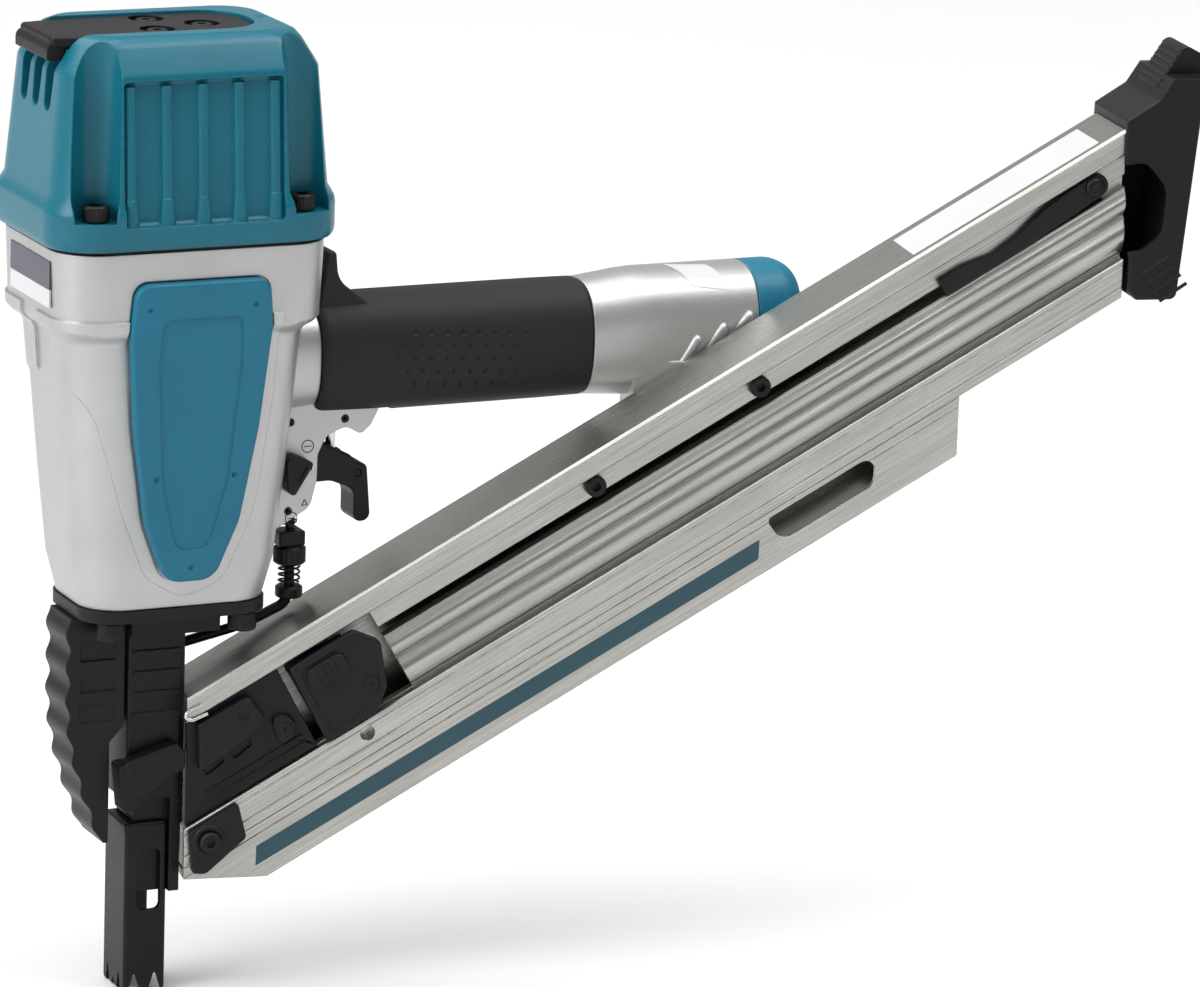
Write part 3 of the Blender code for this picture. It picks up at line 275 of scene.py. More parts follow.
def coil(place, centre, radius, wire_radius, low, high, turns):
    per_turn = 22
    points = []
    for k in range(turns * per_turn + 1):
        angle = math.tau * k / per_turn
        rise = low + wire_radius + (high - low - 2 * wire_radius) * k / (turns * per_turn)
        points.append((centre[0] + radius * math.cos(angle), centre[1] + radius * math.sin(angle), rise))
    return wire(place, points, wire_radius, sides=2)


def turned(place, profile, spot=(0, 0, 0), turn=Matrix.Identity(4), steps=48, closed=False, knurl=()):
    """A profile of (radius, height) turned about Z; rows in knurl get a fine tooth."""
    bm = bmesh.new()
    rows = []
    for row, (radius, height) in enumerate(profile):
        if radius < 1e-6:
            rows.append([bm.verts.new((0, 0, height))])
            continue
        ring = []
        for k in range(steps):
            reach = radius - (0.3 if row in knurl and k % 2 else 0.0)
            angle = math.tau * k / steps
            ring.append(bm.verts.new((reach * math.cos(angle), reach * math.sin(angle), height)))
        rows.append(ring)
    for low, high in list(zip(rows, rows[1:])) + ([(rows[-1], rows[0])] if closed else []):
        for i in range(steps):
            j = (i + 1) % steps
            corners = [low[i % len(low)], low[j % len(low)], high[j % len(high)], high[i % len(high)]]
            corners = list(dict.fromkeys(corners))
            if len(corners) > 2:
                bm.faces.new(corners)
    return solid(bm, place @ Matrix.Translation(Vector(spot) * MM) @ turn)


def span(side, inner, outer):
    """Low and high Y of something between inner and outer on the given side."""
    return sorted((side * inner, side * outer))


def rounded_rectangle(half_x, half_y, radius, steps=10):
    return fillet([(half_x, -half_y, radius), (half_x, half_y, radius),
                   (-half_x, half_y, radius), (-half_x, -half_y, radius)], steps)


def oval(half_y, half_z, power=2.5, count=56):
    points = []
    for k in range(count):
        c, s = math.cos(math.tau * k / count), math.sin(math.tau * k / count)
        points.append((half_y * math.copysign(abs(c) ** (2 / power), c),
                       half_z * math.copysign(abs(s) ** (2 / power), s)))
    return points


def loft(place, rings):
    """A closed skin over matching rings of points, flat at both ends."""
    bm = bmesh.new()
    rows = [[bm.verts.new(point) for point in ring] for ring in rings]
    for low, high in zip(rows, rows[1:]):
        for i in range(len(low)):
            j = (i + 1) % len(low)
            bm.faces.new((low[i], low[j], high[j], high[i]))
    bm.faces.new(rows[0])
    bm.faces.new(rows[-1])
    return solid(bm, place)


def upright_loft(sections, grow=0.0):
    return loft(TOOL, [[(p[0], p[1], z) for p in rounded_rectangle(a + grow, b + grow, r + grow)]
                       for z, a, b, r in sections])


def handle_loft(sections):
    return loft(TOOL, [[(x, y, centre + z) for y, z in oval(half_y, half_z)]
                       for x, centre, half_y, half_z in sections])


def along_rail(horizontal, height):
    return (horizontal * math.cos(SLOPE) + height * math.sin(SLOPE),
            -horizontal * math.sin(SLOPE) + height * math.cos(SLOPE))


def on_upright(horizontal, square):
    return (horizontal / math.cos(SLOPE) + square * math.tan(SLOPE), square)


def show(obj, name, look, body="tool", node=None, edge=0.4, steps=2, sharp=34):
    """Bake a working solid and hang it on its body; it stands for node, when one is given."""
    if edge:
        soften(obj, edge, steps)
    graph = bpy.context.evaluated_depsgraph_get()
    mesh = bpy.data.meshes.new_from_object(obj.evaluated_get(graph))
    mesh.name = name
    mesh.transform(obj.matrix_world)
    mesh.materials.clear()
    mesh.materials.append(look[0])
    mesh.shade_smooth()
    mesh.set_sharp_from_angle(angle=math.radians(sharp))
    piece = bpy.data.objects.new(name, mesh)
    bpy.context.scene.collection.objects.link(piece)
    level = piece.modifiers.new("weighted", "WEIGHTED_NORMAL")
    level.keep_sharp = True
    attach(piece, body)
    if node:
        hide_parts(node)
    return piece


def stands_for(obj, node, look, **options):
    return show(obj, f"{node}_look", look, BODY_OF[node], node, **options)


def screw(place, node, spot, head, socket, look, turn=Matrix.Identity(4), knurled=True):
    """A socket screw with a knurled, chamfered head; the shank stays out of sight."""
    radius, height = head
    profile = [(0, height), (radius - 0.7, height), (radius, height - 0.6), (radius, 0.5),
               (radius - 0.4, 0), (radius * 0.5, 0), (radius * 0.5, -2.5), (0, -2.5)]
    body = turned(place, profile, spot, turn, steps=56, knurl=(2, 3) if knurled else ())
    at = place @ Matrix.Translation(Vector(spot) * MM) @ turn
    cut(body, rod(at, (0, 0, height * 0.35), (0, 0, height + 1), socket, sides=6))
    return stands_for(body, node, look, edge=0)


# ---------------------------------------------------------------- surfaces

def surface(name, colour, roughness, metallic=0.0, coat=0.0, vary=0.10, patch=45.0, grain=1500.0,
            relief=0.04, spread=0.07, worn=None, wear=0.5, along=None, stretch=40.0, edge=0.45,
            specular=0.5):
    """A node surface: patchy colour, fine grain in gloss and bump, soft edges that wear.

    along is the turn of the frame whose X axis brushed streaks follow."""
    made = bpy.data.materials.new(name)
    made.use_nodes = True
    nodes, links = made.node_tree.nodes, made.node_tree.links
    shader = nodes["Principled BSDF"]
    shader.inputs["Metallic"].default_value = metallic
    shader.inputs["Coat Weight"].default_value = coat
    shader.inputs["Coat Roughness"].default_value = 0.12
    shader.inputs["Specular IOR Level"].default_value = specular

    place = nodes.new("ShaderNodeTexCoord").outputs["Object"]
    fine_place = place
    if along is not None:
        lay = nodes.new("ShaderNodeMapping")
        lay.vector_type = "TEXTURE"
        lay.inputs["Rotation"].default_value = along.to_euler()
        lay.inputs["Scale"].default_value = (stretch, 1.0, 1.0)
        links.new(place, lay.inputs["Vector"])
        fine_place = lay.outputs["Vector"]

    def noise(scale, detail, where):
        made_noise = nodes.new("ShaderNodeTexNoise")
        made_noise.inputs["Scale"].default_value = scale
        made_noise.inputs["Detail"].default_value = detail
        links.new(where, made_noise.inputs["Vector"])
        return made_noise.outputs["Fac"]

    def ranged(value, low, high, to_low, to_high):
        step = nodes.new("ShaderNodeMapRange")
        for slot, number in zip(("From Min", "From Max", "To Min", "To Max"), (low, high, to_low, to_high)):
            step.inputs[slot].default_value = number
        links.new(value, step.inputs["Value"])
        return step.outputs["Result"]

    def mixed(share, first, second):
        step = nodes.new("ShaderNodeMix")
        step.data_type = "RGBA"
        links.new(share, step.inputs[0])
        for socket, value in ((step.inputs[6], first), (step.inputs[7], second)):
            if isinstance(value, tuple):
                socket.default_value = (*value, 1.0)
            else:
                links.new(value, socket)
        return step.outputs[2]

    patches = ranged(noise(patch, 5.0, place), 0.3, 0.7, 0.0, 1.0)
    grains = noise(grain, 3.0, fine_place)
    dark = tuple(c * (1 - vary) for c in colour)
    light = tuple(min(c * (1 + vary), 1.0) for c in colour)
    shade = mixed(patches, dark, light)
    if along is not None:
        shade = mixed(ranged(grains, 0.35, 0.65, 0.0, 0.5), shade, tuple(c * 0.72 for c in colour))

    rounded = nodes.new("ShaderNodeBevel")
    rounded.samples = 4
    rounded.inputs["Radius"].default_value = edge * MM
    if worn is not None:
        facing = nodes.new("ShaderNodeVectorMath")
        facing.operation = "DOT_PRODUCT"
        links.new(rounded.outputs["Normal"], facing.inputs[0])
        links.new(nodes.new("ShaderNodeNewGeometry").outputs["Normal"], facing.inputs[1])
        edges = ranged(facing.outputs["Value"], 0.98, 0.86, 0.0, wear)
        scuffs = nodes.new("ShaderNodeMath")
        scuffs.operation = "MULTIPLY"
        links.new(edges, scuffs.inputs[0])
        links.new(ranged(noise(patch * 6, 4.0, place), 0.42, 0.6, 0.15, 1.0), scuffs.inputs[1])
        shade = mixed(scuffs.outputs["Value"], shade, worn)
    links.new(shade, shader.inputs["Base Color"])
    links.new(ranged(grains, 0.3, 0.7, roughness - spread, roughness + spread), shader.inputs["Roughness"])
    bump = nodes.new("ShaderNodeBump")
    bump.inputs["Strength"].default_value = 1.0
    bump.inputs["Distance"].default_value = relief * MM
    links.new(grains, bump.inputs["Height"])
    links.new(rounded.outputs["Normal"], bump.inputs["Normal"])
    links.new(bump.outputs["Normal"], shader.inputs["Normal"])
    return made


CAST = (surface("cast_silver", (0.43, 0.435, 0.43), 0.38, metallic=0.75, vary=0.04, grain=2600, relief=0.05,
                worn=(0.62, 0.62, 0.60), wear=0.35, edge=0.7), "cast_aluminium")
EXTRUDED = (surface("brushed_extrusion", (0.41, 0.405, 0.38), 0.31, metallic=0.95, vary=0.05, patch=22,
                    grain=2100,
                    relief=0.018, spread=0.08, worn=(0.80, 0.79, 0.77), wear=0.6, along=RAIL.to_3x3(),
                    stretch=60.0, edge=0.6), "brushed_aluminium")
TEAL_PAINT = (surface("teal_gloss_paint", (0.004, 0.110, 0.158), 0.30, metallic=0.0, coat=0.0, vary=0.05,
                      grain=1300, relief=0.012, spread=0.04, worn=(0.05, 0.25, 0.31), wear=0.45, edge=0.8,
                      specular=0.3),
              "teal_painted_aluminium")
TEAL = (surface("teal_satin_moulding", (0.007, 0.128, 0.208), 0.42, coat=0.05, vary=0.05, grain=1700,
                relief=0.03,
                worn=(0.03, 0.21, 0.30), wear=0.35, edge=0.8, specular=0.25), "teal_moulding")
RUBBER = (surface("black_grip_rubber", (0.010, 0.0085, 0.0110), 0.60, vary=0.15, grain=2400, relief=0.06,
                  worn=(0.03, 0.027, 0.03), wear=0.4, edge=0.6, specular=0.28), "black_rubber")
BLACK = (surface("black_satin_moulding", (0.0060, 0.0055, 0.0070), 0.42, vary=0.18, grain=1900, relief=0.05,
                 worn=(0.035, 0.033, 0.038), wear=0.45, edge=0.5, specular=0.22), "black_plastic")
OXIDE = (surface("black_oxide_steel", (0.0050, 0.0042, 0.0045), 0.40, metallic=0.15, vary=0.25, patch=120,
                 grain=1500, relief=0.03, worn=(0.11, 0.10, 0.095), wear=0.5, edge=0.35, specular=0.26),
         "blackened_steel")
BRIGHT = (surface("bright_steel", (0.58, 0.58, 0.57), 0.24, metallic=1.0, vary=0.05, grain=1800, relief=0.015,
                  worn=(0.85, 0.85, 0.85), wear=0.3, edge=0.3), "bright_steel")
ALLOY = (surface("turned_alloy", (0.62, 0.62, 0.61), 0.3, metallic=1.0, vary=0.05, grain=900, relief=0.02,
                 edge=0.3), "bright_alloy")
DECAL = (surface("teal_decal", (0.009, 0.052, 0.073), 0.32, coat=0.3, vary=0.06, patch=60, grain=1500,
                 relief=0.008, spread=0.05, along=RAIL.to_3x3(), stretch=60.0, edge=0.1, specular=0.3),
         "teal_moulding")
# Pale label colour; it also colours the painted highlight on the handle's end.
PALE_LABEL_AND_HIGHLIGHT = (surface("white_label_and_painted_highlight", (0.50, 0.50, 0.51), 0.35, coat=0.3, vary=0.02, grain=900, relief=0.006,
                 edge=0.1), "teal_moulding")
INK = (surface("dark_label", (0.026, 0.023, 0.048), 0.38, coat=0.3, vary=0.12, grain=1200, relief=0.006,
               edge=0.1), "black_plastic")


# ---------------------------------------------------------------- studio

def studio():
    scene = bpy.context.scene
    scene.view_settings.view_transform = "Standard"
    lens = bpy.data.cameras.new("camera")
    lens.lens, lens.sensor_width = LENS_MM, SENSOR_MM
    lens.clip_start, lens.clip_end = 0.05, 60.0
    camera = bpy.data.objects.new("camera", lens)
    scene.collection.objects.link(camera)
    camera.matrix_world = (Matrix.Translation(CAMERA_PLACE)
                           @ Matrix.Rotation(math.radians(CAMERA_AZIMUTH), 4, "Z")
                           @ Matrix.Rotation(math.radians(90.0 - CAMERA_ELEVATION), 4, "X")
                           @ Matrix.Rotation(math.radians(CAMERA_ROLL), 4, "Z"))
    scene.camera = camera

    world = bpy.data.worlds.new("studio")
    world.use_nodes = True
    scene.world = world
    nodes, links = world.node_tree.nodes, world.node_tree.links
    facing = nodes.new("ShaderNodeVectorMath")
    facing.operation = "DOT_PRODUCT"
    links.new(nodes.new("ShaderNodeTexCoord").outputs["Generated"], facing.inputs[0])
    facing.inputs[1].default_value = Vector((-0.35, 0.75, 0.55)).normalized()
    fade = nodes.new("ShaderNodeMapRange")
    fade.interpolation_type = "SMOOTHSTEP"
    for slot, number in (("From Min", -0.8), ("From Max", 0.6), ("To Min", 0.16), ("To Max", 0.42)):
        fade.inputs[slot].default_value = number
    links.new(facing.outputs["Value"], fade.inputs["Value"])
    links.new(fade.outputs["Result"], nodes["Background"].inputs["Strength"])
    nodes["Background"].inputs["Color"].default_value = (1.0, 1.0, 1.0, 1.0)

    sun = bpy.data.lights.new("overhead", "SUN")
    sun.energy, sun.angle = 3.3, 1.2
    overhead = bpy.data.objects.new("overhead", sun)
    scene.collection.objects.link(overhead)
    overhead.rotation_euler = (math.radians(-12), math.radians(-14), 0)
    for name, spot, aim, size, power in SOFT_BOXES:
        light = bpy.data.lights.new(name, "AREA")
        light.shape = "RECTANGLE"
        light.size, light.size_y = size
        light.energy = power
        lamp = bpy.data.objects.new(name, light)
        scene.collection.objects.link(lamp)
        lamp.location = spot
        lamp.rotation_euler = (Vector(spot) - Vector(aim)).to_track_quat("Z", "Y").to_euler()

    bm = bmesh.new()
    bmesh.ops.create_grid(bm, x_segments=8, y_segments=8, size=14.0)
    mesh = bpy.data.meshes.new("floor")
    bm.to_mesh(mesh)
    bm.free()
    floor = bpy.data.objects.new("floor", mesh)
    scene.collection.objects.link(floor)
    floor.location = (0, 0, CAD_BOX[0][2])
    mesh.materials.append(surface("pale_floor", (0.62, 0.62, 0.62), 0.8, vary=0.01, patch=2.0, grain=60.0,
                                  relief=0.05, edge=0.1))


# ---------------------------------------------------------------- casting

def pad_outline(grow=0.0):
    g = grow
    return fillet([(-26.0 - g, 126.5 + g, 6), (-27.8 - g, 108, 12), (-24.4 - g, 70, 40),
                   (-18.5 - g, 34, 30), (-9.5 - g, 11.5 - g, 8.5), (9.5 + g, 11.5 - g, 8.5),
                   (18.5 + g, 34, 30), (24.4 + g, 70, 40), (27.8 + g, 108, 12), (26.0 + g, 126.5 + g, 6)])


def pad_plate(place, side, inner, outer, grow=0.0):
    return plate(place, pad_outline(grow), *span(side, inner, outer))


def raised_field(side):
    """The swollen part of the casting round a pad, which flares out under the collar."""
    outline = fillet([(-60, 112), (-60, 99.5), (-50, 91.5, 14), (-38, 76, 30), (-26.5, 38, 60),
                      (-16, 12.5, 12),
                      (-1, 3.4, 10), (14.5, 9.8, 12), (25.5, 36, 60), (31.0, 80, 40), (32.5, 112)], 8)
    field = upright_loft(HOUSING_RINGS, 1.0)
    return boolean(field, "INTERSECT", [plate(TOOL, outline, *span(side, 8.0, 60.0))])


def main_housing():
    housing = upright_loft(HOUSING_RINGS)
    handle = handle_loft(((34, HANDLE_Z, 15.4, 18.9), (167.3, HANDLE_Z, 15.4, 18.9),
                          (167.6, HANDLE_Z, 18.6, 22.2),
                          (178, HANDLE_Z + 0.2, 19.0, 23.2), (186, HANDLE_Z + 0.4, 19.35, 24.0),
                          (192, HANDLE_MID, 19.5, 24.3), (HANDLE_END, HANDLE_MID, 19.5, 24.3)))
    root = handle_loft(((30, HANDLE_Z - 1, 24.0, 22.0), (40, HANDLE_Z, 20.0, 21.0),
                        (49, HANDLE_Z, 17.5, 20.0),
                        (56.7, HANDLE_Z, 16.6, 19.7)))
    foot = plate(YAWED, fillet([(185, 78), (185, 40, 4), (198, 33, 6), (230, 56, 6), (230, 78)]), 18.3, 37.3)
    bracket = plate(TOOL, fillet([(30, 76), (30, 20), (38, 20), (48, 25.5, 6), (56, 30, 6), (58.5, 40, 4),
                                  (58.7, 50, 4), (62, 57, 6), (70, 60, 4), (76, 56.5, 2.5), (80, 60, 3),
                                  (86, 72)]), -10.2, 10.2)
    ribs = []
    for k, x in enumerate((199, 210, 221)):
        low, high = (x, -16.7, 68 + 7 * k), (x + 11, -19.3, 86 + 4 * k)
        ribs += [rod(TOOL, low, high, 1.8, sides=20), balls(TOOL, [(low, 1.79), (high, 1.79)])]
    join(housing, raised_field(-1), raised_field(1), handle, root, foot, bracket, *ribs)
    cut(housing, upright_loft(CAVITY_RINGS), rod(TOOL, (0, 0, -2), (0, 0, 12), 14.0),
        rod(TOOL, (36, 0, HANDLE_Z), (HANDLE_END + 2, 0, HANDLE_Z), 10.0),
        block(TOOL, (42.8, 92), (-7.8, 7.8), (10, 66)), rod(TOOL, (VALVE_X, 0, 60), (VALVE_X, 0, 80), 7.3))
    join(housing, block(TOOL, (49.5, 57.8), (-8.3, 8.3), (33.5, 36.5)))
    cut(housing, rod(TOOL, (ROD_X, 0, 32), (ROD_X, 0, 38), 2.3),
        rod(TOOL, (PIVOT[0], -12, PIVOT[1]), (PIVOT[0], 12, PIVOT[1]), 2.8))
    for x, z in ROLL_PINS:
        cut(housing, rod(TOOL, (x, -12, z), (x, 12, z), 1.6, sides=20))
    for x, y in CAP_BOLTS:
        cut(housing, rod(TOOL, (x, y, 118), (x, y, 140), 3.3, sides=16))
    for x, y in BASE_BOLTS:
        cut(housing, rod(TOOL, (x, y, -2), (x, y, 8.5), 3.3, sides=16))
    for place, side in PADS:
        cut(housing, pad_plate(place, side, -0.4, 9.0, grow=0.5))
    stands_for(housing, "main_housing", CAST, edge=0.55)
    for number, (x, z) in enumerate(ROLL_PINS, start=1):
        pin = rod(TOOL, (x, -9.7, z), (x, 9.7, z), 1.35, sides=24)
        cut(pin, rod(TOOL, (x, -11, z), (x, -8, z), 0.6, sides=12))
        stands_for(pin, f"roll_pin_{number}", OXIDE, edge=0.15)


def bracket_marks():
    """Plain outline marks by the selector, and the bright detent ball."""
    face = -10.25
    for name, x, z in (("mark_ring", 48.6, 26.2), ("mark_ring_upper", 54.6, 53.4)):
        ring = turned(TOOL, [(2.5, 0.0), (2.5, 0.15), (2.15, 0.15), (2.15, 0.0)], (x, face + 0.12, z),
                      TO_NEAR_SIDE, closed=True)
        show(ring, name, OXIDE, edge=0)
        bar = block(TOOL, (x - 1.6, x + 1.6), (face - 0.03, face + 0.12), (z - 0.16, z + 0.16))
        show(bar, f"{name}_bar", OXIDE, edge=0)
    outline = [(52.5, 30.6), (55.3, 30.9), (53.7, 33.4)]
    mark = plate(TOOL, outline, face - 0.03, face + 0.12)
    cut(mark, plate(TOOL, [(53.1, 30.95), (54.7, 31.15), (53.75, 32.7)], face - 1, face + 1))
    show(mark, "mark_triangle", OXIDE, edge=0)
    show(balls(TOOL, [((57.0, -9.9, 44.5), 0.95)]), "detent_ball", BRIGHT, edge=0)


def side_pads():
    for (place, side), node in zip(PADS, ("side_pad_left", "side_pad_right")):
        pad = pad_plate(place, side, 0.0, 4.6)
        outline = fillet([(-15.5, 113, 4), (-16.5, 96, 12), (-13.0, 50, 30), (-6.5, 24, 6), (6.5, 24, 6),
                          (13.0, 50, 30), (16.5, 96, 12), (15.5, 113, 4)])
        dimples = [((x, side * 5.0, z), 1.3) for x, z in ((-20.5, 117), (20.5, 117), (-15.2, 52), (15.2, 52),
                                                          (0, 17.0))]
        cut(soften(pad, 1.5, 4), plate(place, outline, *span(side, 3.9, 6.0)), balls(place, dimples))
        stands_for(pad, node, TEAL, edge=0.3)


def labels_and_handle_highlight():
    """A blank two-tone plate on the collar, and a pale sheet on the top of the handle's end that is a painted
    highlight.
    """
    show(block(TOOL, (-53.3, -52.6), (-22.8, 18.0), (122.2, 132.6)), "collar_label_upper", INK, edge=0.1)
    show(block(TOOL, (-53.3, -52.5), (-22.8, 18.0), (115.4, 122.1)), "collar_label_lower", PALE_LABEL_AND_HIGHLIGHT, edge=0.1)
    # The curved pale sheet over the upper near side of the handle's end is a painted highlight where the
    # light falls.
    rings = []
    for x, lean in ((204.0, 0.0), (212.0, 4.0), (220.0, 8.0)):
        ring = []
        for k in range(13):
            angle = math.radians(88 + lean + 46 * k / 12)
            c, s = math.cos(angle), math.sin(angle)
            ring.append((x + 5.5 * k / 12, 19.62 * math.copysign(abs(c) ** 0.8, c),
                         HANDLE_MID + 24.42 * s ** 0.8))
        rings.append(ring)
    bm = bmesh.new()
    rows = [[bm.verts.new(point) for point in ring] for ring in rings]
    for low, high in zip(rows, rows[1:]):
        for i in range(12):
            bm.faces.new((low[i], low[i + 1], high[i + 1], high[i]))
    bm.transform(TOOL @ Matrix.Scale(MM, 4))
    mesh = bpy.data.meshes.new("highlight_sheet")
    bm.to_mesh(mesh)
    bm.free()
    highlight_sheet = bpy.data.objects.new("highlight_sheet", mesh)
    WORKSHOP.objects.link(highlight_sheet)
    # shown in the pale label colour as a painted highlight
    show(highlight_sheet, "handle_painted_highlight", PALE_LABEL_AND_HIGHLIGHT, edge=0)


# ---------------------------------------------------------------- cap and exhaust

def deflector_outline(grow=0.0):
    return fillet([(-51.5 - grow, -16.5 - grow, 2), (-36, -19.5 - grow, 8), (31.0 + grow, -19.5 - grow, 17),
                   (31.0 + grow, 19.5 + grow, 17), (-36, 19.5 + grow, 8), (-51.5 - grow, 16.5 + grow, 2)], 9)


def top_cap():
    cap = upright_loft(CAP_RINGS)
    cut(cap, upright_loft(CAP_CAVITY_RINGS))
    ribs = []
    for side in (-1, 1):
        panel = [(side * 38.3, 147.0), (side * 37.6, 149.0), (side * 34.0, 199.5), (side * 60.0, 199.5),
                 (side * 60.0, 147.0)]
        cut(cap, soften(plate(TOOL, panel, -31.0, 31.0, plane="YZ"), 1.6, 3))
        for x in (-28, -14, 0, 14, 28):
            ribs += [rod(TOOL, (x, side * 37.6, 150.0), (x, side * 34.1, 197.5), 2.3, sides=28),
                     rod(TOOL, (x, side * 37.2, 146.0), (x, side * 37.6, 157.0), 3.6, sides=28,
                         end_radius=2.3)]
    join(cap, *ribs)
    for x, y in CAP_BOLTS:
        cut(cap, rod(TOOL, (x * 1.02, y * 1.04, 148.8), (x, y * 1.02, 222.0), 8.8, sides=48),
            rod(TOOL, (x, y, 136), (x, y, 150), 3.3, sides=16))
    cut(cap, plate(TOOL, deflector_outline(0.4), 209.0, 222.0, plane="XY"),
        block(TOOL, (-60.0, -45.6), (-17.0, 17.0), (204.6, 216.0)))
    for y in (-12.0, 0.0, 12.0):
        vent = fillet([(y - 4.6, 206.5), (y + 4.6, 206.5), (y + 3.0, 186.0, 2.8),
                       (y - 3.0, 186.0, 2.8)][::-1], 5)
        cut(cap, plate(TOOL, vent, -58.0, -42.0, plane="YZ"))
    for x, y in DEFLECTOR_SCREWS:
        cut(cap, rod(TOOL, (x, y, 201), (x, y, 212), 2.2, sides=16))
    cut(cap, balls(TOOL, [((36.0, 0.0, 220.2), 6.6)]))
    stands_for(cap, "top_cap", TEAL_PAINT, edge=0.7, steps=3)
    for index, (x, y) in enumerate(CAP_BOLTS, start=1):
        screw(TOOL, f"cap_bolt_{index}", (x, y, 149.1), (5.0, 6.0), 2.9, OXIDE)
    for index, (x, y) in enumerate(BASE_BOLTS, start=1):
        screw(TOOL, f"base_bolt_{index}", (x, y, -5.3), (5.4, 6.8), 2.9, OXIDE,
              Matrix.Rotation(math.pi, 4, "X"))


def exhaust_deflector():
    deflector = plate(TOOL, deflector_outline(), 209.3, 213.6, plane="XY")
    lip = plate(TOOL, fillet([(-53.0, 205.0, 1), (-53.0, 211.0, 3.2), (-46.0, 212.6), (-46.0, 205.0)][::-1],
                             6),
                -16.4, 16.4)
    join(soften(deflector, 1.4, 4), lip)
    for x, y in DEFLECTOR_SCREWS:
        cut(deflector, rod(TOOL, (x, y, 211.2), (x, y, 215), 6.6),
            rod(TOOL, (x, y, 208), (x, y, 212), 2.4, sides=16))
    stands_for(deflector, "exhaust_deflector", BLACK, edge=0.4)
    for index, (x, y) in enumerate(DEFLECTOR_SCREWS, start=1):
        screw(TOOL, f"deflector_screw_{index}", (x, y, 211.5), (4.1, 1.9), 1.9, OXIDE, knurled=False)


# ---------------------------------------------------------------- handle

def grip_dimples(side):
    """Staggered rows of small round dimples over the grip's side."""
    spots = []
    for row, count in enumerate((8, 9, 10, 9, 8)):
        for k in range(count):
            x = 116.2 + (k - (count - 1) / 2) * 6.45
            z = 84.8 + (2 - row) * 5.0 - (x - 116.2) * 0.07
            reach = abs((z - HANDLE_Z) / 22.5) ** 2.5
            spots.append(((x, side * 19.6 * (1 - reach) ** 0.4 + side * 0.75, z), 1.55))
    return balls(TOOL, spots)


def handle_grip():
    low = HANDLE_Z
    grip = handle_loft(((57.0, low, 17.5, 20.9), (58.2, low, 18.6, 21.6), (60.0, low, 19.0, 22.0),
                        (78, low, 19.1, 22.5), (95, low, 19.5, 22.5), (112, low, 19.6, 22.5),
                        (130, low, 19.5, 22.5), (150, low, 19.0, 22.5), (166.2, low, 18.8, 22.3),
                        (167.0, low, 18.2, 21.7)))
    saddle = plate(TOOL, fillet([(57, 100), (60.5, 127.5, 1.5), (64.5, 127.0, 2.0), (65.5, 116, 10),
                                 (76, 108, 8), (86, 104)]), -11.0, 11.0)
    join(grip, soften(saddle, 2.5, 4))
    cut(grip, handle_loft(((52, low, 15.7, 19.2), (170, low, 15.7, 19.2))),
        block(TOOL, (54, 90), (-10.5, 10.5), (55, 73)), grip_dimples(-1), grip_dimples(1))
    stands_for(grip, "handle_grip", RUBBER, edge=0)


def handle_end():
    start, end, centre = HANDLE_END + 0.3, HANDLE_END + 21.0, HANDLE_MID
    rings = [(start, centre, 19.0, 23.8), (start + 0.6, centre, 19.5, 24.3), (end - 9, centre, 19.5, 24.3)]
    rings += [(end - 9 + 9 * math.sin(k * math.pi / 12), centre,
               19.5 - 6.0 * (1 - math.cos(k * math.pi / 12)),
               24.3 - 7.2 * (1 - math.cos(k * math.pi / 12))) for k in range(1, 7)]
    cap = handle_loft(rings)
    cut(cap, rod(TOOL, (start - 2, 0, HANDLE_Z), (end + 2, 0, HANDLE_Z), 8.2))
    stands_for(cap, "handle_end_cap", TEAL, edge=0.2)
    plug = turned(TOOL, [(0, 27), (3.2, 27), (4.0, 26.4), (5.6, 25), (5.6, 21), (4.6, 20), (4.6, 16),
                         (5.9, 15),
                         (5.9, 5.3), (7.8, 5.3), (7.8, -22), (0, -22)], (end, 0, HANDLE_Z),
                  Matrix.Rotation(math.pi / 2, 4, "Y"))
    nut = rod(TOOL, (end + 0.3, 0, HANDLE_Z), (end + 5.3, 0, HANDLE_Z), 10.4, sides=6)
    join(plug, soften(nut, 0.6, 2))
    cut(plug, rod(TOOL, (end - 30, 0, HANDLE_Z), (end + 30, 0, HANDLE_Z), 2.4))
    stands_for(plug, "air_plug", BRIGHT, edge=0.2)


# ---------------------------------------------------------------- trigger and contact trip

